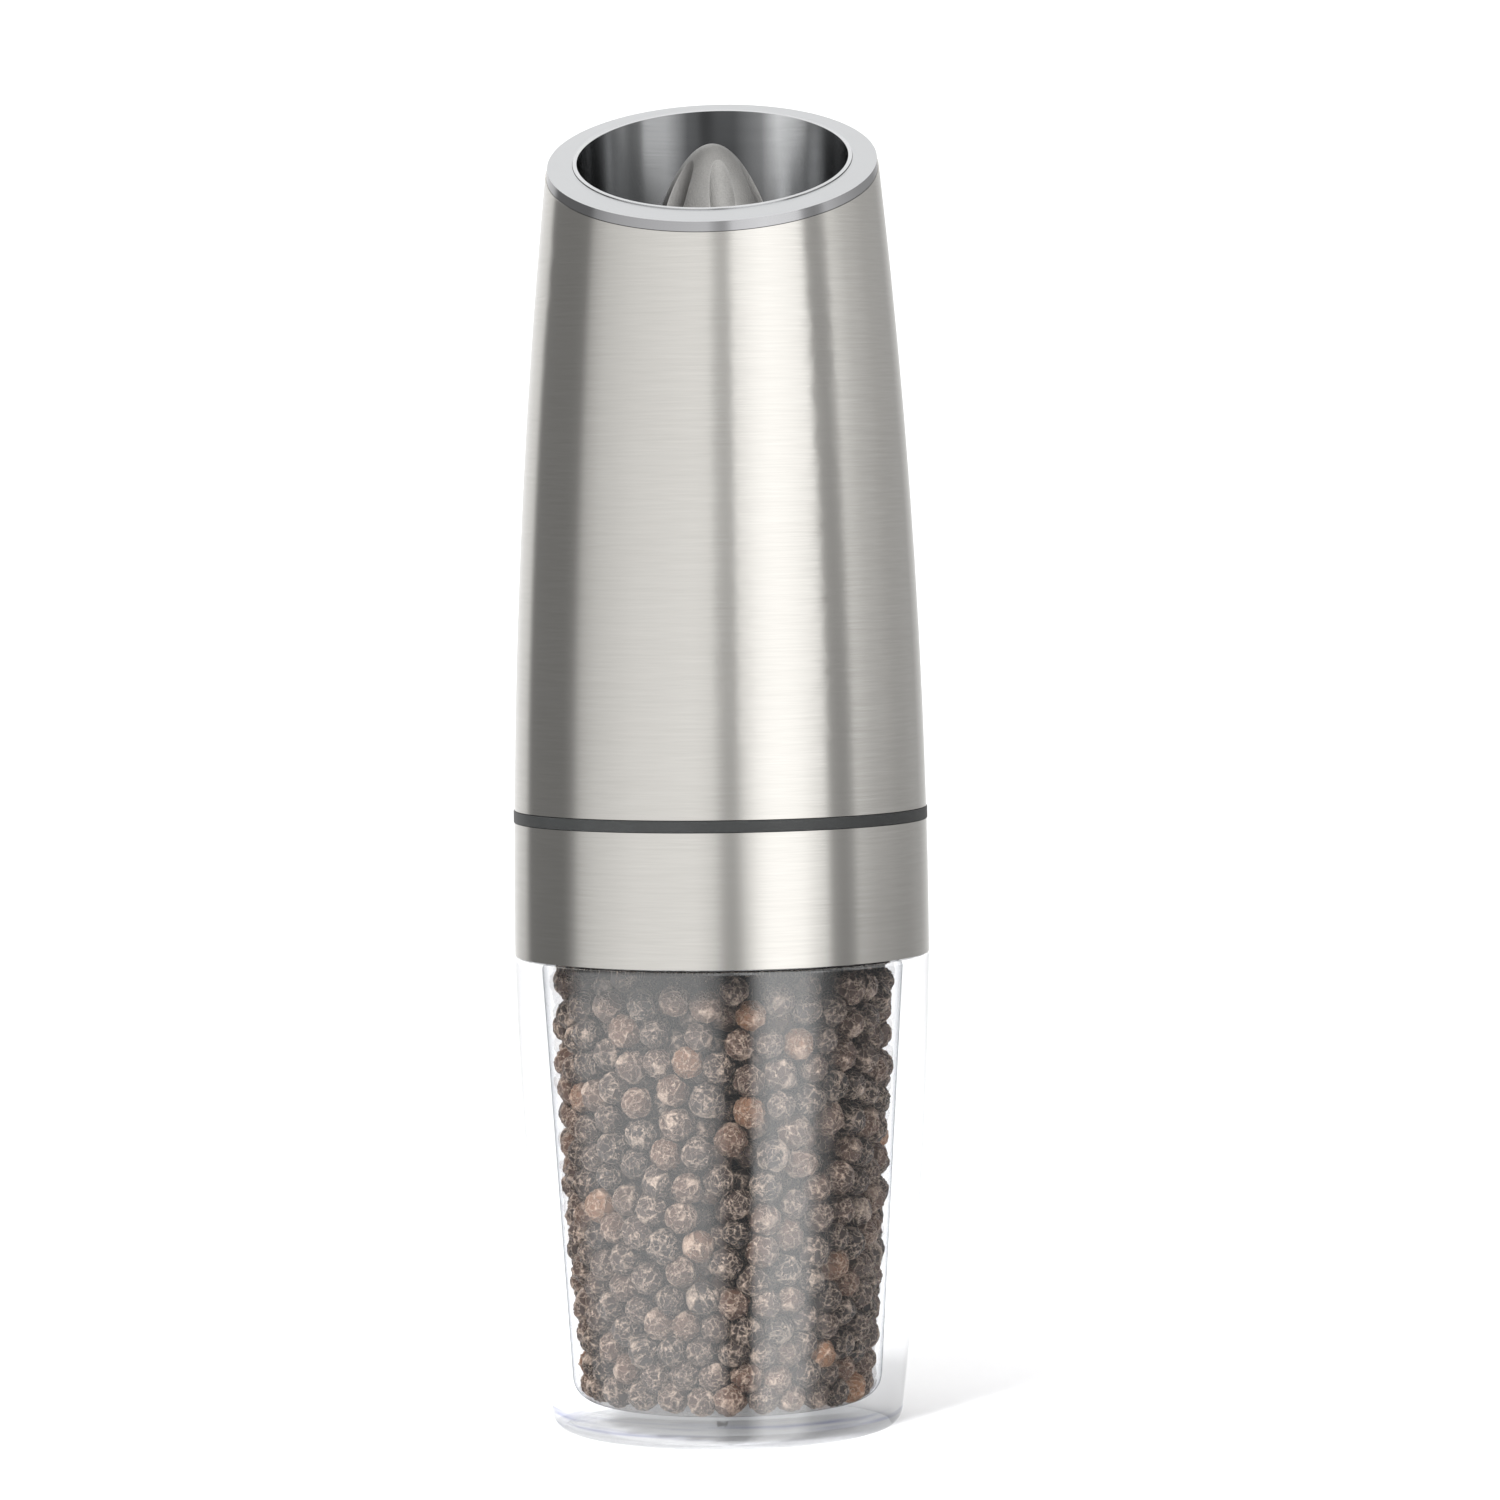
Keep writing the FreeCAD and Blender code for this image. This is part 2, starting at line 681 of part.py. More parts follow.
def lock_space(name, direction, inner, outer, bottom, lug_bottom, twist):
    """The L-shaped way of one lug: straight up from bottom, then round by the twist."""
    half = size.lug_angle / 2 + size.lug_slack
    top = lug_bottom + size.lug_height + size.lug_clearance
    entry = tube(
        name + "_entry",
        outer,
        inner,
        top - bottom,
        z=bottom,
        sweep=2 * half,
        turn=half * -1 + direction,
    )
    way = tube(
        name + "_way",
        outer,
        inner,
        size.lug_height + 2 * size.lug_clearance,
        z=lug_bottom - size.lug_clearance,
        sweep=2 * half + twist,
        turn=half * -1 + direction,
    )
    return fuse(name, [entry, way])


def window(name, direction, bottom, height):
    """A pepper window through a plate, in one chute's direction."""
    return tube(
        name,
        window_outer,
        window_inner,
        height,
        z=bottom,
        sweep=2 * size.window_half_angle,
        turn=size.window_half_angle * -1 + direction,
    )


def saddle(name, direction, height):
    """A rib round the motor tube, hollowed for the three cells of one bay."""
    rib = tube(
        name + "_rib",
        cell_pitch,
        tube_radius - 0.5,
        size.rib_height,
        z=height,
        sweep=2 * (90 - size.chute_half_angle),
        turn=size.chute_half_angle + (direction + 270),
    )
    cells = [
        cylinder(
            f"{name}_cell_{step + 2}",
            size.cell_radius + size.cradle_clearance,
            size.rib_height + 2,
            x=cell_pitch * cosine(size.cell_spread * step + (360 + direction)),
            y=cell_pitch * sine(size.cell_spread * step + (360 + direction)),
            z=height - 1,
        )
        for step in (-1, 0, 1)
    ]
    return cut(name, rib, *cells)


skirt_radius = planned("skirt_radius", side(band_top) - size.steel_wall - size.glue_gap)
jar_lug_bottom = planned("jar_lug_bottom", neck_top - size.neck_height * 0.55)
housing_lug_bottom = planned("housing_lug_bottom", shell_bottom + 2.6)
lead_height = planned("lead_height", deck_top + size.board_height + 1.4)
LEAD_RADIUS = 0.5


def make_chassis():
    """Moulded base: skirt round the jar's neck with its locks, deck, and cone under the motor."""
    parts = [
        tube("skirt", skirt_radius, neck_radius + size.twist_clearance, band_top - band_bottom - 0.3,
             z=band_bottom + 0.3),
        cylinder("deck", skirt_radius, size.deck_height, z=deck_bottom),
        cone("dome", size.dome_tip_radius, tube_radius, size.dome_height, z=deck_bottom - size.dome_height),
    ]
    dome_floor = deck_bottom - size.dome_height + size.dome_wall
    spaces = [
        cylinder("upper_step", chute_radius + 1.1, size.band_above_deck + 1, z=deck_top),
        cylinder("board_opening", tube_bore - 1.75, size.deck_height + 2, z=deck_bottom - 1),
        cone("dome_space", size.dome_tip_radius - 0.2, tube_radius - 1.8, size.dome_height - size.dome_wall,
             z=dome_floor),
    ]
    for n, direction in enumerate(CHUTE_DIRECTIONS, start=1):
        spaces.append(window(f"deck_window_{n}", direction, deck_bottom - 1, size.deck_height + 2))
    for n, direction in enumerate(LOCK_DIRECTIONS, start=1):
        spaces.append(
            lock_space(
                f"jar_lock_{n}",
                direction,
                neck_radius - 1,
                neck_radius + size.lug_depth + size.twist_clearance,
                band_bottom - 1,
                jar_lug_bottom,
                size.jar_twist,
            )
        )
    node("chassis", cut("chassis", fuse("chassis_solid", parts), *spaces))


frame_bottom = planned("frame_bottom", deck_top + size.glue_gap)


def make_battery_frame():
    """Frame on the deck: motor tube, two chutes with the housing's lugs, cell saddles and posts."""
    height = plate_bottom - frame_bottom
    parts = [cylinder("motor_tube", tube_radius, height, z=frame_bottom)]
    for n, direction in enumerate(CHUTE_DIRECTIONS, start=1):
        parts.append(
            tube(
                f"chute_wall_{n}",
                chute_radius,
                window_outer,
                height,
                z=frame_bottom,
                sweep=2 * size.chute_half_angle + 2,
                turn=size.chute_half_angle * -1 + (direction - 1),
            )
        )
        parts.append(
            tube(
                f"housing_lug_{n}",
                chute_radius + size.lug_depth,
                chute_radius - 1,
                size.lug_height,
                z=housing_lug_bottom,
                sweep=size.lug_angle,
                turn=size.lug_angle / -2 + direction,
            )
        )
    for n, direction in enumerate(POST_DIRECTIONS, start=1):
        parts.append(
            block(
                f"radial_wall_{n}",
                window_outer - tube_radius + 1,
                size.chute_wall,
                height,
                x=tube_radius - 0.5,
                z=frame_bottom,
                turn=direction,
            )
        )
        parts.append(
            cylinder(
                f"post_{n}",
                size.post_radius,
                height,
                x=post_pitch * cosine(direction),
                y=post_pitch * sine(direction),
                z=frame_bottom,
            )
        )
    for level, share in enumerate((0.25, 0.75), start=1):
        for n, direction in enumerate(BAY_DIRECTIONS, start=1):
            parts.append(saddle(f"saddle_{level}_{n}", direction, frame_bottom + height * share))
    spaces = [cylinder("motor_space", tube_bore, height + 2, z=frame_bottom - 1)]
    for n, direction in enumerate(POST_DIRECTIONS, start=1):
        x = post_pitch * cosine(direction)
        y = post_pitch * sine(direction)
        spaces.append(cylinder(f"post_hole_{n}", 1.0, 10, x, y, plate_bottom - 8))
    for n, direction in enumerate(BAY_DIRECTIONS, start=1):
        spaces.append(
            block(
                f"lead_hole_{n}",
                size.tube_wall + 3,
                2 * LEAD_RADIUS + 0.6,
                2 * LEAD_RADIUS + 0.6,
                x=tube_bore - 1,
                z=lead_height - LEAD_RADIUS - 0.3,
                turn=size.cell_spread / 2 + direction,
            )
        )
    node("battery_frame", cut("battery_frame", fuse("frame_solid", parts), *spaces))


def make_band():
    """Brushed steel band bonded round the skirt."""
    body = turned(
        "steel_band",
        [
            (side(band_bottom) - size.steel_wall, band_bottom),
            (side(band_bottom), band_bottom),
            (side(band_top), band_top),
            (side(band_top) - size.steel_wall, band_top),
        ],
        {1: size.body_curve, 3: (size.body_curve - size.steel_wall) * -1},
    )
    node("steel_band", body)


def make_end_plate():
    """Plate over the batteries and the gearbox, with the pepper windows and the screw holes."""
    holes = [cylinder("plate_centre_hole", size.drive_shaft_radius + 2, size.plate_height + 2,
                      z=plate_bottom - 1)]
    for n, direction in enumerate(CHUTE_DIRECTIONS, start=1):
        holes.append(window(f"plate_window_{n}", direction, plate_bottom - 1, size.plate_height + 2))
    for n, direction in enumerate(POST_DIRECTIONS, start=1):
        x = post_pitch * cosine(direction)
        y = post_pitch * sine(direction)
        holes.append(cylinder(f"plate_screw_hole_{n}", 1.1, size.plate_height + 2, x, y, plate_bottom - 1))
    plate = cylinder("plate_disc", chute_radius, size.plate_height, z=plate_bottom)
    node("end_plate", cut("end_plate", plate, *holes))


# ---------------------------------------------------------------- batteries and wiring


def make_cells():
    """Six AAA cells, each a body of its own that stands in its place."""
    for number, direction, button_up in cell_places():
        long_end = size.cell_body
        tip = size.cell_body + size.button_height
        body = turned(
            f"battery_{number}",
            [
                (0, 0),
                (size.cell_radius, 0),
                (size.cell_radius, long_end),
                (size.button_radius, long_end),
                (size.button_radius, tip),
                (0, tip),
            ],
        )
        ends = circle_edges(body, size.cell_radius, 0) + circle_edges(body, size.cell_radius, long_end)
        rounded(body, 0.5, ends)
        x = cell_pitch * cosine(direction)
        y = cell_pitch * sine(direction)
        if button_up:
            place(body, x, y, contact_top + spring_room)
        else:
            top = contact_top + cell_length
            body.Placement = Placement(
                Vector(x.value, y.value, top.value), Rotation(Vector(1, 0, 0), 180)
            )
            for prop, quantity in (("x", x), ("y", y), ("z", top)):
                bind(body, "Placement.Base." + prop, quantity)
        node(f"battery_{number}", body)


def make_contact_springs():
    """One coil spring at the flat end of each cell."""
    coils = []
    for number, direction, button_up in cell_places():
        bottom = contact_top if button_up else contact_top + cell_length
        coil = coil_spring(3.0, size.spring_wire.value, 0.02, spring_room.value - 0.04, 3.5)
        made = feature(f"contact_spring_{number}", coil)
        coils.append(place(made, cell_pitch * cosine(direction), cell_pitch * sine(direction), bottom))
    node("contact_springs", group("contact_springs", coils))


def contact_strip(name, directions, bottom):
    """A strip that covers one cell, or bridges two neighbours."""
    pads = [
        cylinder(
            f"{name}_pad_{n}",
            size.contact_radius,
            size.contact_height,
            x=cell_pitch * cosine(direction),
            y=cell_pitch * sine(direction),
            z=bottom,
        )
        for n, direction in enumerate(directions, start=1)
    ]
    if len(pads) == 1:
        return pads[0]
    span = 2 * cell_pitch * sine(size.cell_spread / 2)
    turn = (directions[0] + directions[1]) / 2
    middle = cell_pitch * cosine(size.cell_spread / 2)
    bridge = block(
        f"{name}_bridge",
        2 * size.contact_radius - 2,
        span,
        size.contact_height,
        x=middle - size.contact_radius + 1,
        z=bottom,
        turn=turn,
    )
    return fuse(name, [*pads, bridge])


def make_contacts():
    """Nickel strips that join each bay's three cells in series."""
    lower = []
    upper = []
    for n, bay in enumerate(BAY_DIRECTIONS, start=1):
        first, middle, last = [size.cell_spread * step + (360 + bay) for step in (-1, 0, 1)]
        low = deck_top + size.glue_gap
        lower.append(contact_strip(f"lower_single_{n}", [first], low))
        lower.append(contact_strip(f"lower_pair_{n}", [middle, last], low))
        upper.append(contact_strip(f"upper_pair_{n}", [first, middle], upper_contact))
        upper.append(contact_strip(f"upper_single_{n}", [last], upper_contact))
    node("lower_contacts", group("lower_contacts", lower))
    node("upper_contacts", group("upper_contacts", upper))


board_bottom = planned("board_bottom", deck_top + size.glue_gap)
board_top = planned("board_top", board_bottom + size.board_height)
switch_bottom = planned("switch_bottom", deck_bottom - size.dome_height + size.dome_wall + 2.7)
SWITCH_RADIUS = 2.6
SWITCH_WALL = 0.4
BALL_RADIUS = 1.9
SWITCH_PIN_OFFSET = 0.9
SWITCH_PIN_RADIUS = 0.25


def make_switch():
    """Round board with a tilt switch under it: turned over, the ball rolls on to the two pins."""
    pin_holes = [
        cylinder(f"pin_hole_{n}", SWITCH_PIN_RADIUS + 0.05, size.board_height + 2,
                 x=sign * SWITCH_PIN_OFFSET, z=board_bottom - 1)
        for n, sign in enumerate((-1, 1), start=1)
    ]
    board = cylinder("board_disc", tube_bore - 0.4, size.board_height, z=board_bottom)
    node("switch_board", cut("switch_board", board, *pin_holes))
    chip = block("driver_chip", 4, 3.2, 1.1, x=3.5, z=board_top + size.glue_gap, turn=60)
    resistor = block("resistor", 1.6, 0.8, 0.6, x=4.5, z=board_top + size.glue_gap, turn=120)
    capacitor = cylinder("capacitor", 1.4, 1.6, x=-4.5, y=-3, z=board_top + size.glue_gap)
    node("board_components", group("board_components", [chip, resistor, capacitor]))
    height = board_bottom - size.glue_gap - switch_bottom
    can = cylinder("switch_can", SWITCH_RADIUS, height, z=switch_bottom)
    room = cylinder("switch_room", SWITCH_RADIUS - SWITCH_WALL, height, z=switch_bottom + SWITCH_WALL)
    node("tilt_switch_can", cut("tilt_switch_can", can, room))
    pins = [
        cylinder(f"switch_pin_{n}", SWITCH_PIN_RADIUS, size.board_height + 1, x=sign * SWITCH_PIN_OFFSET,
                 z=board_bottom - 0.5)
        for n, sign in enumerate((-1, 1), start=1)
    ]
    node("tilt_switch_pins", group("tilt_switch_pins", pins))
    ball = doc.addObject("Part::Sphere", "tilt_ball")
    ball.Radius = BALL_RADIUS
    node("tilt_ball", place(ball, z=switch_bottom + (SWITCH_WALL + BALL_RADIUS + 0.05)))


def make_leads():
    """Two short wires from the switch board, through the motor tube and between two cells."""
    inner = tube_bore.value - 2.2
    outer = cell_pitch.value * cosine(size.cell_spread / 2).value - size.contact_radius.value + 1.6
    start = board_top.value + 0.05
    level = lead_height.value
    end = contact_top.value + 0.05
    bend = 0.9
    slope = bend * (1 - math.sqrt(0.5))
    first = Vector(inner, 0, level - bend)
    second = Vector(inner + bend, 0, level)
    third = Vector(outer - bend, 0, level)
    fourth = Vector(outer, 0, level - bend)
    edges = [
        Part.LineSegment(Vector(inner, 0, start), first).toShape(),
        Part.Arc(first, Vector(inner + slope, 0, level - slope), second).toShape(),
        Part.LineSegment(second, third).toShape(),
        Part.Arc(third, Vector(outer - slope, 0, level - slope), fourth).toShape(),
        Part.LineSegment(fourth, Vector(outer, 0, end)).toShape(),
    ]
    section = Part.Wire(Part.Circle(Vector(inner, 0, start), Vector(0, 0, 1), LEAD_RADIUS).toShape())
    lead = Part.Wire(edges).makePipeShell([section], True, True)
    leads = [
        place(feature(f"battery_lead_{n}", lead), turn=size.cell_spread / 2 + direction)
        for n, direction in enumerate(BAY_DIRECTIONS, start=1)
    ]
    node("battery_leads", group("battery_leads", leads))


# ---------------------------------------------------------------- motor


def make_motor():
    """Brushed motor: can, end cap, magnets, bushes and brush arms, and its turning parts."""
    shaft_hole = size.motor_shaft_radius + 2
    inside = size.motor_radius - size.motor_wall
    can = turned(
        "motor_can",
        [
            (inside, can_bottom),
            (size.motor_radius, can_bottom),
            (size.motor_radius, can_top),
            (shaft_hole, can_top),
            (shaft_hole, can_top - 0.8),
            (inside, can_top - 0.8),
        ],
    )
    node("motor_can", can)
    cap = turned(
        "motor_cap_disc",
        [
            (shaft_hole, cap_bottom),
            (size.motor_radius, cap_bottom),
            (size.motor_radius, can_bottom - size.glue_gap),
            (inside - 0.05, can_bottom - size.glue_gap),
            (inside - 0.05, can_bottom + 1.2),
            (shaft_hole, can_bottom + 1.2),
        ],
    )
    slots = [block(f"brush_slot_{n}", 0.7, 2.2, 6, x=5.65, z=cap_bottom - 1, turn=turn)
             for n, turn in enumerate((90, 270), start=1)]
    node("motor_end_cap", cut("motor_end_cap", cap, *slots))
    magnet_height = size.motor_length - 9
    magnets = [
        tube(f"magnet_{n}", inside - 0.05, inside - 2.2, magnet_height, z=can_bottom + 5, sweep=130,
             turn=turn)
        for n, turn in enumerate((295, 115), start=1)
    ]
    node("motor_magnets", group("motor_magnets", magnets))
    bush_heights = (cap_bottom + 0.2, can_top - 2.4)
    bushes = [
        tube(f"motor_bush_{n}", shaft_hole - 0.04, size.motor_shaft_radius + size.running_gap, 3, z=height)
        for n, height in enumerate(bush_heights, start=1)
    ]
    node("motor_bushes", group("motor_bushes", bushes))
    arms = []
    for n, turn in enumerate((90, 270), start=1):
        blade = block(f"terminal_{n}", 0.5, 2, can_bottom + 4.0 - board_top - 0.3, x=5.75,
                      z=board_top + 0.3, turn=turn)
        reach = block(f"brush_reach_{n}", 3.4, 2, 0.5, x=2.75, z=can_bottom + 3.5, turn=turn)
        tip = block(f"brush_{n}", 0.9, 1.6, 1.6, x=2.75, z=can_bottom + 2.2, turn=turn)
        arms.append(fuse(f"brush_arm_{n}", [blade, reach, tip]))
    node("brush_arms", group("brush_arms", arms))

    shaft_bottom = cap_bottom - 1.2
    shaft_top = first_gears + size.first_gear_height
    node("motor_shaft", cylinder("motor_shaft", size.motor_shaft_radius, shaft_top - shaft_bottom,
                                 z=shaft_bottom))
    on_shaft = size.motor_shaft_radius + 0.01
    core_bottom = can_bottom + 7
    core_height = size.motor_length - 13
    core = tube("armature_disc", inside - 2.7, on_shaft, core_height, z=core_bottom)
    slots = [block(f"armature_slot_{n}", 6, 2.4, core_height + 2, x=4, z=core_bottom - 1, turn=turn)
             for n, turn in enumerate((30, 150, 270), start=1)]
    node("armature_core", cut("armature_core", core, *slots))
    windings = [
        tube(f"winding_{n}", 7.2, 2.2, 2.2, z=height)
        for n, height in enumerate((core_bottom - 2.25, core_bottom + core_height + 0.05), start=1)
    ]
    node("armature_windings", group("armature_windings", windings))
    node("commutator", tube("commutator", 2.6, on_shaft, 2.9, z=can_bottom + 1.7))
    pinion = gear(size.sun_teeth.value, size.first_gear_height, bore=on_shaft.value)
    node("motor_pinion", place(feature("motor_pinion", pinion), z=first_gears))


# ---------------------------------------------------------------- gearbox

PLANET_DIRECTIONS = (0, 120, 240)


def planet_turn():
    """Turn, in degrees, that puts a planet's tooth gap on the sun tooth that points along +X."""
    return 180 / size.planet_teeth.value if size.planet_teeth.value % 2 == 0 else 0


def planet_spot(direction):
    return orbit * cosine(direction), orbit * sine(direction)


def make_gearbox():
    """Two planetary stages in one housing, whose inside is the ring gear."""
    floor_top = gearbox_bottom + size.input_plate
    housing = cylinder("gearbox_can", gearbox_radius, cover_bottom - size.glue_gap - gearbox_bottom,
                       z=gearbox_bottom)
    room = place(
        feature("ring_gear_space", gear(ring_teeth.value, 2 * size.cell_body, inward=True)),
        z=floor_top,
        turn=180 / ring_teeth,
    )
    shaft_hole = cylinder("pinion_hole", size.gear_module * (size.sun_teeth / 2 + 1) + 0.4,
                          size.input_plate + 2, z=gearbox_bottom - 1)
    screw_pitch = gearbox_radius - size.gearbox_wall / 2
    screw_spots = [(screw_pitch * cosine(a), screw_pitch * sine(a)) for a in (60, 180, 300)]
    screw_holes = [cylinder(f"gearbox_screw_hole_{n}", 0.5, 8, x, y, cover_bottom - 4.2)
                   for n, (x, y) in enumerate(screw_spots, start=1)]
    node("gearbox_housing", cut("gearbox_housing", housing, room, shaft_hole, *screw_holes))

    bush_outer = size.drive_shaft_radius + size.bush_wall
    disc = cylinder("cover_disc", gearbox_radius, size.cover_height, z=cover_bottom)
    bush_hole = cylinder("cover_bush_hole", bush_outer, size.cover_height + 2, z=cover_bottom - 1)
    cover_holes = []
    screws = []
    for n, (x, y) in enumerate(screw_spots, start=1):
        cover_holes.append(cylinder(f"cover_hole_{n}", 0.5, size.cover_height + 2, x, y, cover_bottom - 1))
        cover_holes.append(cylinder(f"cover_sink_{n}", 0.9, 2, x, y, cover_top - 1))
        shank = cylinder(f"gearbox_shank_{n}", 0.45, size.cover_height + 3, x, y, cover_bottom - 4)
        head = cylinder(f"gearbox_head_{n}", 0.85, 0.8, x, y, cover_top - 1)
        screws.append(fuse(f"gearbox_screw_{n}", [shank, head]))
    node("gearbox_cover", cut("gearbox_cover", disc, bush_hole, *cover_holes))
    node("gearbox_screws", group("gearbox_screws", screws))

    sun = gear(size.sun_teeth.value, second_carrier - size.gear_gap - second_sun + 0.5)
    hub = place(feature("second_sun_gear", sun), z=second_sun - 0.5)
    plate = cylinder("first_carrier_disc", size.carrier_radius, size.carrier_height, z=first_carrier)
    stages = [
        ("one", first_gears, size.first_gear_height, first_carrier),
        ("two", second_gears, size.second_gear_height, second_carrier),
    ]
    for stage, bottom, height, carrier in stages:
        pins = []
        for n, direction in enumerate(PLANET_DIRECTIONS, start=1):
            x, y = planet_spot(direction)
            planet = gear(size.planet_teeth.value, height, bore=value_of(size.pin_radius + size.running_gap))
            made = feature(f"stage_{stage}_planet_{n}", planet)
            node(f"stage_{stage}_planet_{n}", place(made, x, y, bottom, planet_turn()))
            pins.append(cylinder(f"stage_{stage}_pin_{n}", size.pin_radius, carrier - bottom, x, y, bottom))
        node(f"stage_{stage}_pins", group(f"stage_{stage}_pins", pins))
    node("stage_one_carrier", fuse("stage_one_carrier", [plate, hub]))
    node("output_carrier", tube("output_carrier", size.carrier_radius, size.drive_shaft_radius + 0.01,
                                size.output_carrier_height, z=second_carrier))


# ---------------------------------------------------------------- grinding head


def make_drive_shaft():
    """Round shaft from the gearbox, with a collar, a square for the turning burr and a threaded end."""
    square_bottom = collar_top - 0.2
    parts = [
        cylinder("shaft_round", size.drive_shaft_radius, collar_bottom - second_carrier + 0.5,
                 z=second_carrier),
        cylinder("shaft_collar", size.drive_shaft_radius + 1.9, collar_top - collar_bottom, z=collar_bottom),
        block("shaft_flats", size.shaft_square, size.shaft_square, thread_bottom - square_bottom,
              x=size.shaft_square / -2, z=square_bottom),
        cylinder("shaft_thread", size.thread_radius, size.insert_height + 1.5, z=thread_bottom - 0.5),
    ]
    node("drive_shaft", fuse("drive_shaft", parts))
    coil = coil_spring(3.9, 0.35, 0, inner_foot.value - collar_top.value - 0.1, 3.5)
    node("burr_spring", place(feature("burr_spring", coil), z=collar_top + 0.05))
    bushes = [
        tube(f"drive_bush_{n}", size.drive_shaft_radius + size.bush_wall - 0.02,
             size.drive_shaft_radius + size.running_gap, height, z=bottom)
        for n, (bottom, height) in enumerate(
            ((cover_bottom, size.cover_height), (hub_bottom, size.hub_height)), start=1
        )
    ]
    node("drive_bushes", group("drive_bushes", bushes))


def make_burr_holder():
    """Funnel that gathers the peppercorns, with a spider for the shaft and a socket for the outer burr."""
    flange = chute_radius - 0.4
    mouth_in = flange - size.holder_wall
    throat = size.burr_radius - 0.75
    funnel = turned(
        "holder_funnel",
        [
            (mouth_in, flange_bottom),
            (flange, flange_bottom),
            (flange, flange_top),
            (socket_radius, funnel_top),
            (socket_radius, socket_top),
            (size.burr_radius + 0.1, socket_top),
            (size.burr_radius + 0.1, ring_foot - 0.05),
            (throat, ring_foot - 0.05),
            (throat, funnel_top),
            (mouth_in, flange_top),
        ],
    )
    parts = [funnel, cylinder("spider_hub", size.drive_shaft_radius + size.bush_wall + 1.6, size.hub_height,
                              z=hub_bottom)]
    arm_reach = (mouth_in + throat) / 2 + 2.6
    for n, turn in enumerate((90, 210, 330), start=1):
        parts.append(block(f"spider_arm_{n}", arm_reach - 3.5, size.arm_width, size.hub_height - 1, x=3.5,
                           z=hub_bottom + 0.5, turn=turn))
    spaces = [cylinder("hub_bore", size.drive_shaft_radius + size.bush_wall, size.hub_height + 2,
                       z=hub_bottom - 1)]
    screws = []
    pillar_top = flange_top + 3.2
    for n, direction in enumerate(POST_DIRECTIONS, start=1):
        x = post_pitch * cosine(direction)
        y = post_pitch * sine(direction)
        parts.append(cylinder(f"pillar_{n}", 3.0, pillar_top - flange_bottom, x, y, flange_bottom))
        spaces.append(cylinder(f"pillar_hole_{n}", 1.1, 20, x, y, flange_bottom - 1))
        spaces.append(cylinder(f"pillar_sink_{n}", 1.95, 20, x, y, flange_top - 0.4))
        shank = cylinder(f"head_shank_{n}", 0.95, flange_top - plate_bottom + 5, x, y, plate_bottom - 5)
        head = cylinder(f"head_head_{n}", 1.8, 1.4, x, y, flange_top - 0.35)
        screws.append(fuse(f"head_screw_{n}", [shank, head]))
    node("burr_holder", cut("burr_holder", fuse("holder_solid", parts), *spaces))
    node("head_screws", group("head_screws", screws))


def groove_cutter(name, low, high, depth, outside):
    """V grooves along a cone, from (radius, height) low to high. outside cuts from the outside."""
    (r_low, z_low), (r_high, z_high) = low, high
    count = int(size.burr_grooves.value)
    width = math.pi * min(r_low, r_high) / count * 0.62
    sign = -1 if outside else 1
    edge = 0.3 if outside else -0.3
    sections = []
    for r, z in ((r_low, z_low), (r_high, z_high)):
        corners = [
            Vector(r + edge, -width, z),
            Vector(r + sign * depth, 0, z),
            Vector(r + edge, width, z),
        ]
        sections.append(Part.makePolygon(corners + corners[:1]))
    wedge = Part.makeLoft(sections, True, True)
    wedges = []
    for n in range(count):
        copy = wedge.copy()
        copy.rotate(Vector(), Vector(0, 0, 1), 360 * (n + 0.5) / count)
        wedges.append(copy)
    return feature(name, Part.makeCompound(wedges))


def make_burrs():
    """Fixed ceramic ring and turning ceramic cone, with grooves that crush and then grind."""
    waist = ring_foot + size.burr_waist_height
    inlet = size.burr_radius - 1.3
    ring = turned(
        "ring_blank",
        [
            (inlet, ring_foot),
            (size.burr_radius, ring_foot),
            (size.burr_radius, ring_top),
            (size.burr_mouth_radius, ring_top),
            (size.burr_waist_radius, waist),
        ],
    )
    upper = groove_cutter(
        "ring_fine_grooves",
        (size.burr_waist_radius.value - 0.1, waist.value - 0.3),
        (size.burr_mouth_radius.value + 0.2, ring_top.value + 0.5),
        0.45,
        outside=False,
    )
    lower = groove_cutter(
        "ring_coarse_grooves",
        (inlet.value + 0.1, ring_foot.value - 0.5),
        (size.burr_waist_radius.value - 0.3, waist.value + 0.5),
        1.1,
        outside=False,
    )
    node("outer_burr", cut("outer_burr", ring, upper, lower))

    slope = (size.burr_mouth_radius - size.burr_waist_radius) / (size.burr_height - size.burr_waist_height)
    inner_waist = size.burr_waist_radius - size.burr_gap
    shoulder = ring_top + 1.7
    widest = inner_waist + slope * (shoulder - waist)
    hole = size.shaft_square / 2 + 0.1
    cone_blank = turned(
        "inner_blank",
        [
            (0, inner_foot),
            (5.5, inner_foot),
            (inner_waist, waist),
            (widest, shoulder),
            (widest - 0.6, inner_top),
            (0, inner_top),
        ],
    )
    fine = groove_cutter(
        "cone_fine_grooves",
        (inner_waist.value, waist.value),
        (widest.value, shoulder.value + 0.01),
        0.5,
        outside=True,
    )
    square = block("burr_square", 2 * hole, 2 * hole, size.inner_burr_height + 2, x=hole * -1,
                   z=inner_foot - 1)
    node("inner_burr", cut("inner_burr", cone_blank, fine, square))

    inner = size.burr_mouth_radius + 1.0
    retainer = turned(
        "burr_retainer",
        [
            (inner, ring_top + size.glue_gap),
            (size.burr_radius, ring_top + size.glue_gap),
            (size.burr_radius, socket_top + size.glue_gap),
            (socket_radius, socket_top + size.glue_gap),
            (socket_radius, socket_top + size.retainer_height),
            (inner, socket_top + size.retainer_height),
        ],
    )
    node("burr_retainer", retainer)


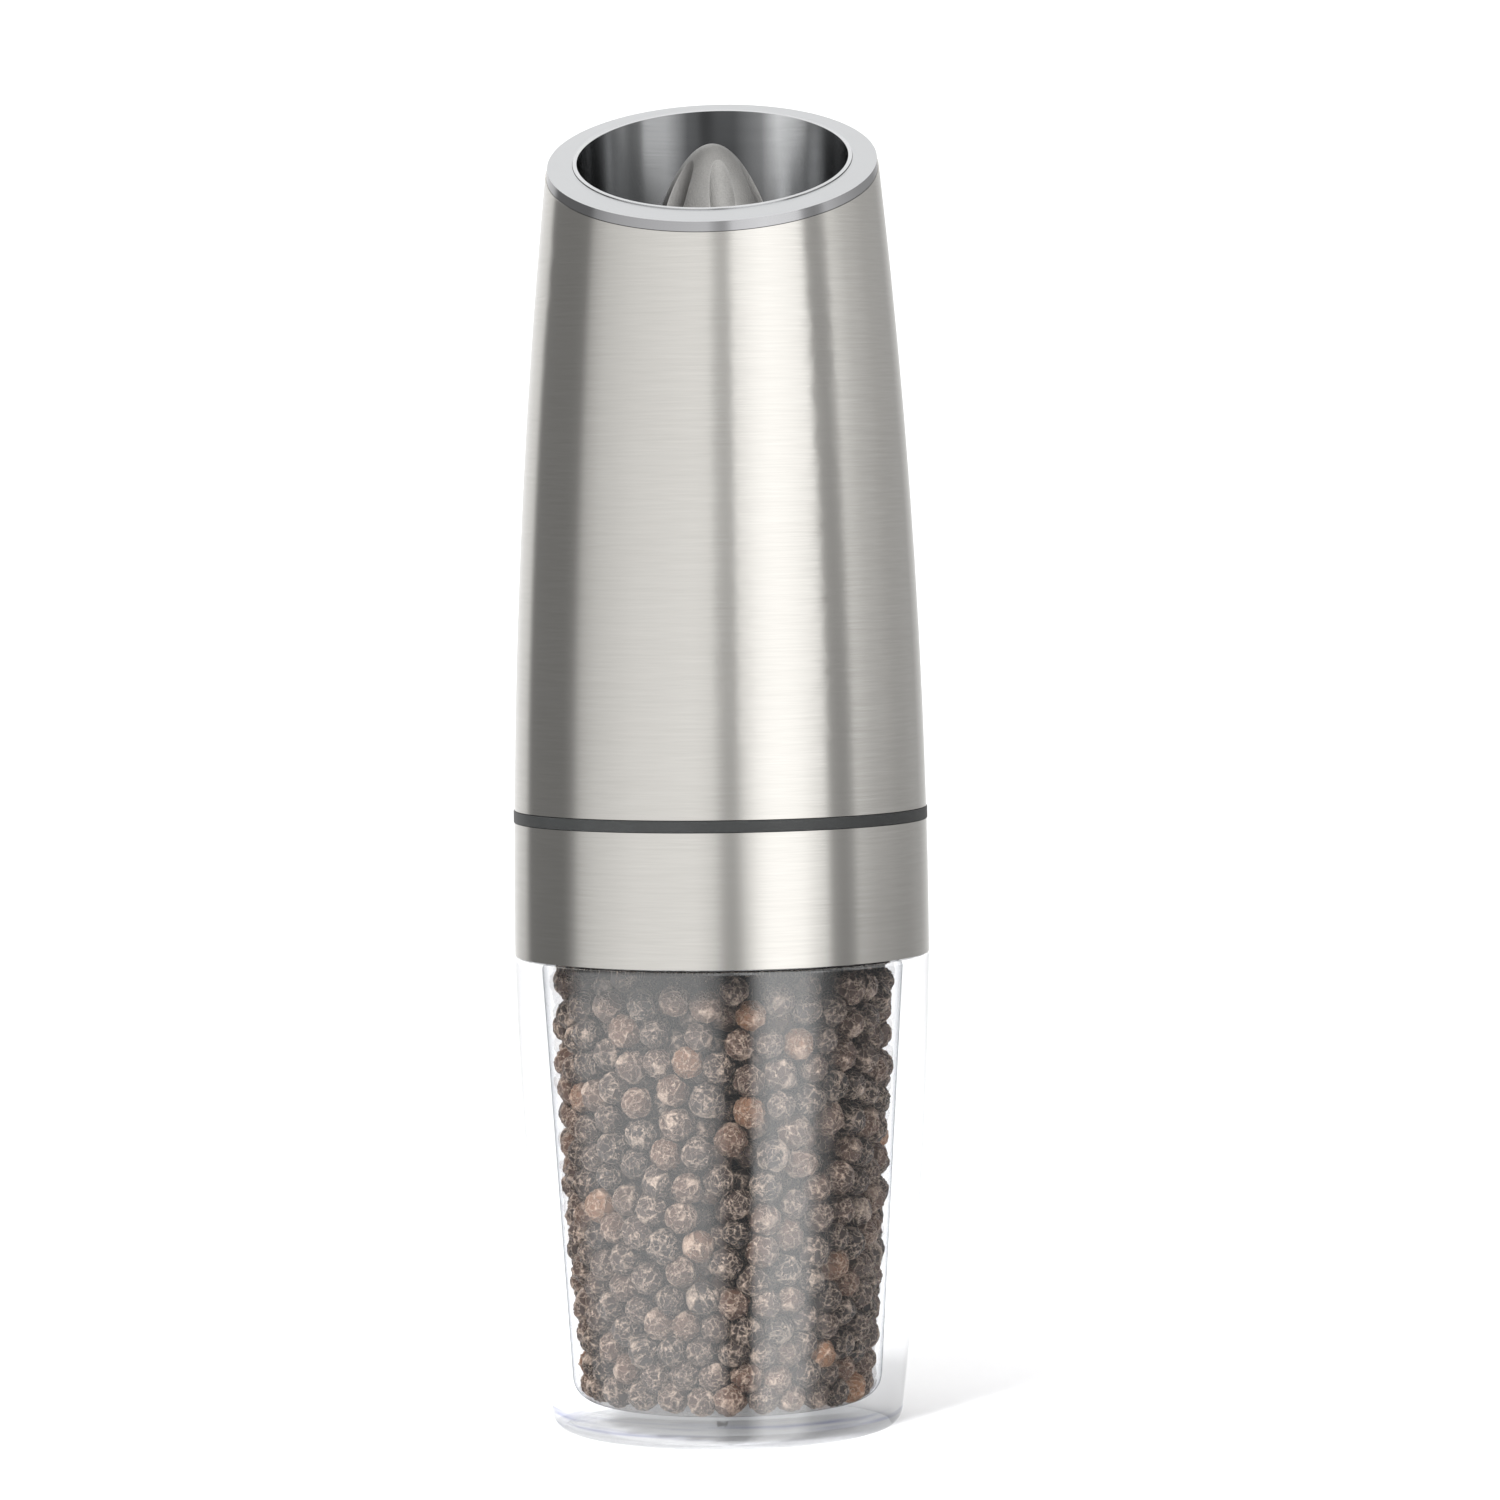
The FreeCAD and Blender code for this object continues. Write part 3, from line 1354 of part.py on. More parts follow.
def knob_blank():
    """Solid of the knob: a paraboloid nose on a short straight foot."""
    height = size.knob_height.value
    radius = size.knob_radius.value
    fullness = size.knob_fullness.value
    nose = radius * radius / fullness
    steps = 8
    curve = [Vector(radius * i / steps, 0, height - (radius * i / steps) ** 2 / fullness)
             for i in range(steps + 1)]
    side_curve = Part.BSplineCurve()
    side_curve.interpolate(curve, InitialTangent=Vector(1, 0, 0),
                           FinalTangent=Vector(fullness / (2 * radius), 0, -1))
    foot_edge = Vector(radius, 0, 0)
    edges = [
        side_curve.toShape(),
        Part.LineSegment(Vector(radius, 0, height - nose), foot_edge).toShape(),
        Part.LineSegment(foot_edge, Vector()).toShape(),
        Part.LineSegment(Vector(), Vector(0, 0, height)).toShape(),
    ]
    return Part.Face(Part.Wire(edges)).revolve(Vector(), Vector(0, 0, 1), 360)


FLUTE_DIRECTIONS = range(45, 405, 60)


def flute_cutters():
    """Round tools that lean along the knob's side. They run out well below the tip."""
    fullness = size.knob_fullness.value
    radius = size.flute_radius.value
    low = Vector(size.knob_radius.value, 0, size.knob_height.value - size.knob_radius.value**2 / fullness)
    high_radius = size.knob_radius.value * 0.42
    high = Vector(high_radius, 0, size.knob_height.value - high_radius**2 / fullness)
    slope = (high - low).normalize()
    outward = Vector(slope.z, 0, slope.x * -1)
    start = low + outward * (radius - size.flute_depth.value)
    end = high + outward * radius
    along = (end - start).normalize()
    start = start - along * 12
    tools = []
    for direction in FLUTE_DIRECTIONS:
        shank = Part.makeCylinder(radius, (end - start).Length, start, along)
        tool = shank.fuse(Part.makeSphere(radius, end))
        tool.rotate(Vector(), Vector(0, 0, 1), direction)
        tools.append(tool)
    return Part.makeCompound(tools)


def make_knob():
    """Adjusting knob with six round flutes, and the brass insert that runs on the shaft's thread."""
    blank = place(feature("knob_blank", knob_blank()), z=knob_foot)
    flutes = place(feature("knob_flutes", flute_cutters()), z=knob_foot)
    insert_bottom = thread_bottom + 0.5
    bore = cylinder("knob_bore", size.insert_radius, insert_bottom + size.insert_height - knob_foot + 2.6,
                    z=knob_foot - 1)
    node("grind_knob", cut("grind_knob", blank, flutes, bore))
    node("knob_insert", tube("knob_insert", size.insert_radius - 0.02, size.thread_radius + size.running_gap,
                             size.insert_height, z=insert_bottom))


# ---------------------------------------------------------------- housing


def make_parting_ring():
    """Black ring between band and shell. It lies loose round the chutes."""
    bottom = band_top + size.parting_gap
    body = turned(
        "parting_ring",
        [
            (chute_radius + 0.1, bottom),
            (side(bottom) + size.parting_proud, bottom),
            (side(bottom) + size.parting_proud, bottom + size.parting_height),
            (chute_radius + 0.1, bottom + size.parting_height),
        ],
    )
    node("parting_ring", body)


def make_housing():
    """Brushed steel shell with its lock ring, the slanted rim and the polished throat."""
    shell_blank = turned(
        "shell_blank",
        [
            (side(shell_bottom) - size.steel_wall, shell_bottom),
            (side(shell_bottom), shell_bottom),
            (side(blank_top), blank_top),
            (side(blank_top) - size.steel_wall, blank_top),
        ],
        {1: size.body_curve, 3: (size.body_curve - size.steel_wall) * -1},
    )
    reach = 4 * size.body_radius
    rim_bottom = mouth - size.rim_height
    above_shell = slab("above_shell", rim_bottom - size.glue_gap, reach)
    node("steel_shell", cut("steel_shell", shell_blank, above_shell))

    liner_top = shell_bottom + 11.5
    liner_outer = side(liner_top) - size.steel_wall - size.glue_gap
    liner_inner = chute_radius + size.twist_clearance
    liner = tube("liner_ring", liner_outer, liner_inner, liner_top - shell_bottom, z=shell_bottom)
    ways = [
        lock_space(f"housing_lock_{n}", direction, liner_inner - 1,
                   chute_radius + size.lug_depth + size.twist_clearance, shell_bottom - 1,
                   housing_lug_bottom, size.housing_twist)
        for n, direction in enumerate(CHUTE_DIRECTIONS, start=1)
    ]
    node("housing_liner", cut("housing_liner", liner, *ways))

    bore = throat_radius + size.throat_wall + size.glue_gap
    low = rim_bottom - 1.6 * side(mouth) * sine(size.mouth_tilt)
    edge_blank = turned(
        "rim_edge_blank",
        [
            (bore, low),
            (side(low) - size.rim_inset, low),
            (side(blank_top) - size.rim_inset, blank_top),
            (bore, blank_top),
        ],
        {1: size.body_curve - size.rim_inset},
    )
    spigot_outer = size.steel_wall + 0.1
    spigot_blank = turned(
        "rim_spigot_blank",
        [
            (bore, low),
            (side(low) - spigot_outer, low),
            (side(blank_top) - spigot_outer, blank_top),
            (bore, blank_top),
        ],
        {1: size.body_curve - spigot_outer},
    )
    upright = cosine(size.mouth_tilt)
    edge_slab = slab("rim_edge_slab", rim_bottom, size.rim_height * upright)
    spigot_slab = slab("rim_spigot_slab", rim_bottom - size.rim_spigot,
                       (size.rim_spigot + size.rim_height / 2) * upright)
    edge = common("rim_edge", edge_blank, edge_slab)
    spigot = common("rim_spigot_ring", spigot_blank, spigot_slab)
    node("mouth_rim", fuse("mouth_rim", [edge, spigot]))

    foot_radius = socket_radius + 0.6
    throat_blank = turned(
        "throat_blank",
        [
            (foot_radius, throat_foot),
            (foot_radius + size.throat_wall, throat_foot),
            (throat_radius + size.throat_wall, throat_foot + size.throat_cone),
            (throat_radius + size.throat_wall, blank_top),
            (throat_radius, blank_top),
            (throat_radius, throat_foot + size.throat_cone),
        ],
    )
    above_lip = slab("above_lip", mouth + size.throat_lip, reach)
    node("throat_liner", cut("throat_liner", throat_blank, above_lip))


# ---------------------------------------------------------------- build and write


def check_and_write():
    """Stops on any failed object or bad shape, then writes each sub-part to its own file."""
    doc.recompute()
    for thing in doc.Objects:
        if "Invalid" in thing.State or "Error" in thing.State:
            raise RuntimeError(f"{thing.Name} failed: {thing.State}")
    os.makedirs("parts", exist_ok=True)
    for thing in NODES:
        shape = thing.Shape
        if shape.isNull() or not shape.isValid() or not shape.Solids:
            raise RuntimeError(f"{thing.Label} has no valid solid")
        print(f"{thing.Label}: {len(shape.Solids)} solids, {shape.Volume:.1f} mm3")
    for thing in NODES:
        thing.Shape.exportStep(os.path.join("parts", thing.Label + ".step"))


make_jar()
make_peppercorns()
make_gasket()
make_chassis()
make_battery_frame()
make_band()
make_end_plate()
make_cells()
make_contact_springs()
make_contacts()
make_switch()
make_leads()
make_motor()
make_gearbox()
make_drive_shaft()
make_burr_holder()
make_burrs()
make_knob()
make_parting_ring()
make_housing()
check_and_write()
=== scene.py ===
"""A battery pepper mill standing on its clear jar, finished piece by piece and set up in a plain studio.

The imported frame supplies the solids. Each sub-assembly here is a class that dresses its solids, and the jar
also builds its charge of peppercorns. Lengths are in metres, with +Z up and the low side of the mouth at -Y.
"""

import logging
import math
from dataclasses import dataclass, field
from enum import Enum
from typing import Any

import bpy
import numpy as np
from mathutils import Matrix, Vector


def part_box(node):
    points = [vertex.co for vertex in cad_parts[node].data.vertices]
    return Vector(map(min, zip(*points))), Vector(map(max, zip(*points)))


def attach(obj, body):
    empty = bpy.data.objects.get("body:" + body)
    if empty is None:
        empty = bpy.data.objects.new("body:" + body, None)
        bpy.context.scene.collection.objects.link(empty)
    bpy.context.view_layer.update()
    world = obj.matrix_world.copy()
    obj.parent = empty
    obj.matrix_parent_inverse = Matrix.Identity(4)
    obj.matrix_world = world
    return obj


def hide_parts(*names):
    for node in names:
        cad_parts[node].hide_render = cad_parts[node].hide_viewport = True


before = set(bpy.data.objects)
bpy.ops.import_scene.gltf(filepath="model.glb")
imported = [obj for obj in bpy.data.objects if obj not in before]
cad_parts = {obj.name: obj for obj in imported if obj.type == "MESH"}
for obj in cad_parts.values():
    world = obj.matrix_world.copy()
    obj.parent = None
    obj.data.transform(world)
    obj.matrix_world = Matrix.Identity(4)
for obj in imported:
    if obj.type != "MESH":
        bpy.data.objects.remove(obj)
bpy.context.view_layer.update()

Colour = tuple[float, float, float]
log = logging.getLogger("pepper_mill")


# ---------------------------------------------------------------- names the record uses


class Slot(Enum):
    """Material slots of the record."""

    ACRYLIC = "clear_acrylic"
    BERRY = "peppercorn"
    SILICONE = "silicone"
    BLACK = "black_plastic"
    RING = "ring_black"
    STEEL = "brushed_steel"
    RIM = "rim_steel"
    THROAT = "polished_steel"
    ALLOY = "satin_alloy"
    CERAMIC = "burr_ceramic"
    SPRING = "spring_steel"
    TURNED = "turned_steel"
    STRIP = "nickel_strip"
    CELL = "cell_sleeve"
    BOARD = "board_green"
    CHIP = "chip_black"
    LEAD = "lead_red"
    ZINC = "zinc_steel"
    FERRITE = "ferrite"
    BRONZE = "bronze"
    COPPER = "copper"
    LAMINATED = "laminated_steel"
    BRASS = "brass"
    GEAR_WHITE = "gear_white"
    GEAR_BLACK = "gear_black"


# ---------------------------------------------------------------- node work


class Bench:
    """Adds and joins the nodes of one tree."""

    def __init__(self, tree: bpy.types.NodeTree) -> None:
        """Takes the tree to work in."""
        self.tree = tree

    def add(self, kind: str, inputs: dict[str, Any] | None = None, **settings: Any) -> bpy.types.Node:
        """Adds a node.

        Args:
            kind: the node's type, without the leading ShaderNode.
            inputs: a number, colour or output socket for each named or numbered input.
            settings: the node's own settings.

        Returns:
            The new node.
        """
        made = self.tree.nodes.new("ShaderNode" + kind)
        for name, value in settings.items():
            setattr(made, name, value)
        for name, value in (inputs or {}).items():
            self.feed(made.inputs[name], value)
        return made

    def feed(self, target: bpy.types.NodeSocket, value: Any) -> None:
        """Joins an output to a socket, or sets the socket's own value.

        Args:
            target: the input socket.
            value: an output socket, a colour or a number.
        """
        if isinstance(value, bpy.types.NodeSocket):
            self.tree.links.new(value, target)
        elif isinstance(value, tuple) and len(value) == 3 and target.type == "RGBA":
            target.default_value = (*value, 1.0)
        else:
            target.default_value = value

    def math(self, operation: str, *values: Any, clamp: bool = False) -> bpy.types.NodeSocket:
        """One step of arithmetic.

        Args:
            operation: the Math node's operation.
            values: numbers or output sockets, in order.
            clamp: keep the result between 0 and 1.

        Returns:
            The result's socket.
        """
        made = self.add("Math", operation=operation, use_clamp=clamp)
        for target, value in zip(made.inputs, values):
            self.feed(target, value)
        return made.outputs[0]

    def span(self, value: Any, low: float, high: float, to_low: float = 0.0,
             to_high: float = 1.0) -> bpy.types.NodeSocket:
        """Maps low to high onto to_low to to_high, and holds the value inside them.

        Args:
            value: the socket to map.
            low: value that gives to_low.
            high: value that gives to_high.
            to_low: result at low.
            to_high: result at high.

        Returns:
            The mapped value's socket.
        """
        return self.add("MapRange", {"Value": value, "From Min": low, "From Max": high,
                                     "To Min": to_low, "To Max": to_high}).outputs["Result"]

    def blend(self, amount: Any, first: Any, second: Any) -> bpy.types.NodeSocket:
        """Mixes two colours.

        Args:
            amount: 0 gives the first colour, 1 the second.
            first: a colour or its socket.
            second: a colour or its socket.

        Returns:
            The mixed colour's socket.
        """
        made = self.add("Mix", data_type="RGBA")
        self.feed(made.inputs[0], amount)
        self.feed(made.inputs[6], first)
        self.feed(made.inputs[7], second)
        return made.outputs[2]

    def steps(self, share: Any, values: tuple[tuple[float, float], ...]) -> bpy.types.NodeSocket:
        """Brightness that changes with an angle.

        Args:
            share: the angle as a socket, from 0 for -180 degrees to 1 for 180.
            values: angle in degrees and brightness, from -180 up.

        Returns:
            The brightness's socket.
        """
        ramp = self.add("ValToRGB", {0: share})
        stops = ramp.color_ramp.elements
        stops.remove(stops[-1])
        for number, (angle, value) in enumerate(values):
            place = (angle + 180) / 360
            stop = stops[0] if number == 0 else stops.new(place)
            stop.position = place
            stop.color = (value, value, value, 1.0)
        return ramp.outputs[0]

    def place(self) -> bpy.types.NodeSocket:
        """The point on the piece, in metres, in the piece's own frame."""
        return self.add("TexCoord").outputs["Object"]

    def stretched(self, along_x: Any, along_y: Any, along_z: Any) -> bpy.types.NodeSocket:
        """The point on the piece with each direction divided by a length.

        Args:
            along_x: length in the x direction, a number or a socket.
            along_y: length in the y direction.
            along_z: length in the z direction.

        Returns:
            The scaled point's socket.
        """
        parts = self.add("SeparateXYZ", {0: self.place()})
        scaled = [self.math("DIVIDE", part, length)
                  for part, length in zip(parts.outputs, (along_x, along_y, along_z))]
        return self.add("CombineXYZ", {0: scaled[0], 1: scaled[1], 2: scaled[2]}).outputs[0]


class Effect(Enum):
    """Surface effects that several finishes share, each kept as one node group."""

    BRUSHING = "Brushing"
    GRAIN = "Grain"
    DRIFT = "Tone Drift"
    # edge wear, which on the knob also paints a highlight along the flute edges
    WEAR_AND_HIGHLIGHT = "Edge Wear"
    DUST = "Settled Dust"


class EffectShelf:
    """Builds each shared effect once and hands it to the finishes."""

    def __init__(self) -> None:
        """Starts with no group built."""
        self.groups: dict[Effect, bpy.types.NodeTree] = {}

    def use(self, bench: Bench, effect: Effect, **values: Any) -> bpy.types.NodeSocket:
        """Places an effect in a material.

        Args:
            bench: the material's bench.
            effect: which effect.
            values: inputs of the group, with underscores for the spaces of their names.

        Returns:
            The effect's socket.
        """
        if effect not in self.groups:
            self.groups[effect] = self.build(effect)
        made = bench.add("Group", node_tree=self.groups[effect])
        for name, value in values.items():
            bench.feed(made.inputs[name.replace("_", " ").title()], value)
        return made.outputs[0]

    def build(self, effect: Effect) -> bpy.types.NodeTree:
        """Makes the group of one effect.

        Args:
            effect: which effect.

        Returns:
            The group.
        """
        makers = {Effect.BRUSHING: self.brushing, Effect.GRAIN: self.grain, Effect.DRIFT: self.drift,
                  Effect.WEAR_AND_HIGHLIGHT: self.wear_and_highlight, Effect.DUST: self.dust}
        tree = bpy.data.node_groups.new(effect.value, "ShaderNodeTree")
        makers[effect](tree)
        log.info("effect %s built", effect.value)
        return tree

    @staticmethod
    def sockets(tree: bpy.types.NodeTree, inputs: dict[str, float], output: str) -> tuple[Bench, Any, Any]:
        """Gives a group its sockets.

        Args:
            tree: the empty group.
            inputs: the name and first value of each number the group takes.
            output: name of the one number it gives.

        Returns:
            The group's bench, its input node's outputs and its output socket.
        """
        for name, value in inputs.items():
            made = tree.interface.new_socket(name, in_out="INPUT", socket_type="NodeSocketFloat")
            made.default_value = value
        tree.interface.new_socket(output, in_out="OUTPUT", socket_type="NodeSocketFloat")
        entry = tree.nodes.new("NodeGroupInput")
        leave = tree.nodes.new("NodeGroupOutput")
        return Bench(tree), entry.outputs, leave.inputs[output]

    def brushing(self, tree: bpy.types.NodeTree) -> None:
        """Fine level scratches that run round the piece, long in x and y and thin in z.

        Args:
            tree: the empty group.
        """
        bench, given, result = self.sockets(tree, {"Length": 0.01, "Width": 0.00012}, "Lines")
        fine = bench.stretched(given["Length"], given["Length"], given["Width"])
        broad = bench.add("VectorMath", {0: fine, 1: (0.5, 0.5, 0.21)}, operation="MULTIPLY").outputs[0]
        lines = bench.add("TexNoise", {"Vector": fine, "Scale": 1.0, "Detail": 2.0, "Roughness": 0.6})
        bands = bench.add("TexNoise", {"Vector": broad, "Scale": 1.0, "Detail": 1.0})
        both = bench.math("ADD", bench.math("MULTIPLY", lines.outputs[0], 0.65),
                          bench.math("MULTIPLY", bands.outputs[0], 0.35))
        bench.feed(result, bench.span(both, 0.3, 0.7))

    def grain(self, tree: bpy.types.NodeTree) -> None:
        """Fine all-over grain, as of a blasted or moulded face.

        Args:
            tree: the empty group.
        """
        bench, given, result = self.sockets(tree, {"Size": 0.0004}, "Grain")
        at = bench.stretched(given["Size"], given["Size"], given["Size"])
        grain = bench.add("TexNoise", {"Vector": at, "Scale": 1.0, "Detail": 2.5, "Roughness": 0.65})
        bench.feed(result, bench.span(grain.outputs[0], 0.28, 0.72))

    def drift(self, tree: bpy.types.NodeTree) -> None:
        """Slow change of tone over the surface, from handling and uneven finishing.

        Args:
            tree: the empty group.
        """
        bench, given, result = self.sockets(tree, {"Size": 0.02}, "Drift")
        at = bench.stretched(given["Size"], given["Size"], given["Size"])
        cloud = bench.add("TexNoise", {"Vector": at, "Scale": 1.0, "Detail": 3.0, "Distortion": 0.6})
        bench.feed(result, bench.span(cloud.outputs[0], 0.35, 0.65))

    def wear_and_highlight(self, tree: bpy.types.NodeTree) -> None:
        """Mask along sharp edges, broken up so that it isn't even: real edge wear, and on the knob partly a
        painted highlight along the flutes.

        Args:
            tree: the empty group.
        """
        bench, given, result = self.sockets(tree, {"Radius": 0.0004, "Amount": 1.0}, "Mask")
        soft = bench.add("Bevel", {"Radius": given["Radius"]}, samples=4)
        true = bench.add("NewGeometry").outputs["Normal"]
        same = bench.add("VectorMath", {0: soft.outputs[0], 1: true}, operation="DOT_PRODUCT")
        edge = bench.span(same.outputs["Value"], 0.995, 0.9)
        at = bench.stretched(0.003, 0.003, 0.003)
        cloud = bench.add("TexNoise", {"Vector": at, "Scale": 1.0, "Detail": 3.0})
        broken = bench.math("MULTIPLY", edge, bench.span(cloud.outputs[0], 0.35, 0.6, 0.35, 1.0))
        bench.feed(result, bench.math("MULTIPLY", broken, given["Amount"], clamp=True))

    def dust(self, tree: bpy.types.NodeTree) -> None:
        """Mask of fine pepper dust on the faces that look up.

        Args:
            tree: the empty group.
        """
        bench, given, result = self.sockets(tree, {"Amount": 0.3}, "Mask")
        up = bench.add("SeparateXYZ", {0: bench.add("NewGeometry").outputs["Normal"]}).outputs["Z"]
        at = bench.stretched(0.002, 0.002, 0.002)
        cloud = bench.add("TexNoise", {"Vector": at, "Scale": 1.0, "Detail": 4.0})
        fall = bench.math("MULTIPLY", bench.span(up, 0.4, 1.0), bench.span(cloud.outputs[0], 0.45, 0.7))
        bench.feed(result, bench.math("MULTIPLY", fall, given["Amount"], clamp=True))


shelf = EffectShelf()


# ---------------------------------------------------------------- finishes


@dataclass(frozen=True)
class Finish:
    """A moulded, cast or blasted surface, and what every finish has in common."""

    name: str
    slot: Slot | None
    colour: Colour
    other: Colour
    roughness: float = 0.5
    spread: float = 0.08
    metallic: float = 0.0
    grain: float = 0.0004
    depth: float = 0.00002
    drift: float = 0.015
    wear_and_highlight: float = 0.0
    worn_and_highlight: Colour = (0.5, 0.5, 0.5)
    dust: float = 0.0
    dusty: Colour = (0.16, 0.12, 0.09)
    sheen: float = 0.0
    coat: float = 0.0

    def material(self) -> bpy.types.Material:
        """Makes the finish's material the first time it is asked for.

        Returns:
            The material.
        """
        made = bpy.data.materials.get(self.name)
        if made is None:
            made = bpy.data.materials.new(self.name)
            made.use_nodes = True
            made.node_tree.nodes.clear()
            bench = Bench(made.node_tree)
            shader = bench.add("BsdfPrincipled", {"Metallic": self.metallic, "Coat Weight": self.coat,
                                                  "Sheen Weight": self.sheen})
            leave = bench.add("OutputMaterial")
            bench.feed(leave.inputs["Surface"], self.surface(bench, shader))
            made.diffuse_color = (*self.colour, 1.0)
            log.info("finish %s made", self.name)
        return made

    def surface(self, bench: Bench, shader: bpy.types.Node) -> bpy.types.NodeSocket:
        """Colours and roughens the shader.

        Args:
            bench: the material's bench.
            shader: its Principled shader.

        Returns:
            The socket that goes to the material's output.
        """
        grain = shelf.use(bench, Effect.GRAIN, size=self.grain)
        drift = shelf.use(bench, Effect.DRIFT, size=self.drift)
        tone = bench.math("MULTIPLY_ADD", grain, 0.35, bench.math("MULTIPLY", drift, 0.65))
        return self.settle(bench, shader, bench.blend(tone, self.colour, self.other),
                           self.roughened(bench, tone), grain)

    def roughened(self, bench: Bench, tone: Any) -> bpy.types.NodeSocket:
        """Roughness across the finish's spread, from a tone between 0 and 1."""
        return bench.span(tone, 0.0, 1.0, self.roughness - self.spread, self.roughness + self.spread)

    def settle(self, bench: Bench, shader: bpy.types.Node, colour: Any, rough: Any,
               height: Any) -> bpy.types.NodeSocket:
        """Adds edge wear (on the knob partly a painted highlight) and dust to a colour and a roughness, and
        gives the shader both and its relief.

        Args:
            bench: the material's bench.
            shader: its Principled shader.
            colour: the clean surface's colour socket.
            rough: the clean surface's roughness socket.
            height: the relief's socket, between 0 and 1.

        Returns:
            The shader's output.
        """
        # edge mask: rubbed edges, and on the knob a painted highlight
        if self.wear_and_highlight:
            mask = shelf.use(bench, Effect.WEAR_AND_HIGHLIGHT, amount=self.wear_and_highlight)
            colour = bench.blend(mask, colour, self.worn_and_highlight)
        if self.dust:
            mask = shelf.use(bench, Effect.DUST, amount=self.dust)
            colour = bench.blend(mask, colour, self.dusty)
            rough = bench.math("MULTIPLY_ADD", mask, 0.3, rough, clamp=True)
        bench.feed(shader.inputs["Base Color"], colour)
        bench.feed(shader.inputs["Roughness"], rough)
        self.bump(bench, shader, height)
        return shader.outputs[0]

    def bump(self, bench: Bench, shader: bpy.types.Node, height: Any) -> None:
        """Gives the shader relief from a height between 0 and 1, self.depth metres deep."""
        relief = bench.add("Bump", {"Height": height, "Distance": self.depth, "Strength": 1.0})
        bench.feed(shader.inputs["Normal"], relief.outputs[0])


@dataclass(frozen=True)
class Brushed(Finish):
    """Metal with level brush lines round the axis, which spread a reflection up and down."""

    length: float = 0.009
    width: float = 0.00011
    stretch: float = 0.75

    def surface(self, bench: Bench, shader: bpy.types.Node) -> bpy.types.NodeSocket:
        """Brushes the shader.

        Args:
            bench: the material's bench.
            shader: its Principled shader.

        Returns:
            The socket that goes to the material's output.
        """
        lines = shelf.use(bench, Effect.BRUSHING, length=self.length, width=self.width)
        drift = shelf.use(bench, Effect.DRIFT, size=self.drift)
        tone = bench.math("MULTIPLY_ADD", lines, 0.8, bench.math("MULTIPLY", drift, 0.2))
        shader.inputs["Anisotropic"].default_value = self.stretch
        shader.inputs["Anisotropic Rotation"].default_value = 0.25
        round_axis = bench.add("Tangent", direction_type="RADIAL", axis="Z")
        bench.feed(shader.inputs["Tangent"], round_axis.outputs[0])
        rough = bench.span(tone, 0.0, 1.0, self.roughness + self.spread, self.roughness - self.spread)
        return self.settle(bench, shader, bench.blend(tone, self.colour, self.other), rough, lines)


@dataclass(frozen=True)
class Rim(Finish):
    """The mouth's ring: a satin slanted face, and a polished side."""

    side_colour: Colour = (0.5, 0.5, 0.51)
    side_roughness: float = 0.12
    tilt: float = 21.4

    def surface(self, bench: Bench, shader: bpy.types.Node) -> bpy.types.NodeSocket:
        """Parts the slanted face from the side by its direction.

        Args:
            bench: the material's bench.
            shader: its Principled shader.

        Returns:
            The socket that goes to the material's output.
        """
        grain = shelf.use(bench, Effect.GRAIN, size=self.grain)
        drift = shelf.use(bench, Effect.DRIFT, size=self.drift)
        tone = bench.math("MULTIPLY_ADD", grain, 0.5, bench.math("MULTIPLY", drift, 0.5))
        slope = math.radians(self.tilt)
        outward = (0.0, -math.sin(slope), math.cos(slope))
        facing = bench.add("VectorMath", {0: bench.add("NewGeometry").outputs["Normal"], 1: outward},
                           operation="DOT_PRODUCT")
        face = bench.span(facing.outputs["Value"], 0.6, 0.85)
        satin = bench.blend(tone, self.colour, self.other)
        satin_rough = self.roughened(bench, tone)
        side_rough = bench.span(drift, 0.0, 1.0, self.side_roughness, self.side_roughness + 0.05)
        rough = bench.math("ADD", bench.math("MULTIPLY", face, satin_rough),
                           bench.math("MULTIPLY", bench.math("SUBTRACT", 1.0, face), side_rough))
        return self.settle(bench, shader, bench.blend(face, self.side_colour, satin), rough,
                           bench.math("MULTIPLY", grain, face))


@dataclass(frozen=True)
class Throat(Brushed):
    """The funnel in the mouth, with reflection bands painted round it in its colour, and a painted highlight
    on its lip.
    """

    # colour of the painted highlight on the lip
    edge: Colour = (0.78, 0.79, 0.80)
    # dark end of the painted reflection bands
    painted_dark_reflection: Colour = (0.05, 0.052, 0.055)
    # reflection bands painted round the throat: angle in degrees and share of the polished colour
    painted_reflection_bands: tuple[tuple[float, float], ...] = (
        (-180, 0.6), (-130, 0.6), (-60, 0.5), (0, 0.15), (24, 0.3), (40, 0.6), (49, 1.0), (64, 1.0),
        (72, 0.3), (84, 0.06), (104, 0.06), (114, 0.35), (126, 0.45), (140, 0.22), (165, 0.1), (180, 0.6),
    )

    def surface(self, bench: Bench, shader: bpy.types.Node) -> bpy.types.NodeSocket:
        """Paints the reflection bands by the angle round the axis, and paints a highlight on the faces that
        look up.

        Args:
            bench: the material's bench.
            shader: its Principled shader.

        Returns:
            The socket that goes to the material's output.
        """
        made = super().surface(bench, shader)
        polish = shader.inputs["Base Color"].links[0].from_socket
        # painted reflection: the colour runs from the polished steel to a dark tone by the angle round the
        # axis
        at = bench.add("SeparateXYZ", {0: bench.place()})
        share = bench.span(bench.math("ARCTAN2", at.outputs["Y"], at.outputs["X"]), -math.pi, math.pi)
        painted_reflection = bench.blend(bench.steps(share, self.painted_reflection_bands), self.painted_dark_reflection, polish)
        # painted highlight: faces that look up, at the lip, take the light edge colour
        up = bench.add("SeparateXYZ", {0: bench.add("NewGeometry").outputs["Normal"]}).outputs["Z"]
        bench.feed(shader.inputs["Base Color"], bench.blend(bench.span(up, 0.7, 0.9), painted_reflection, self.edge))
        return made


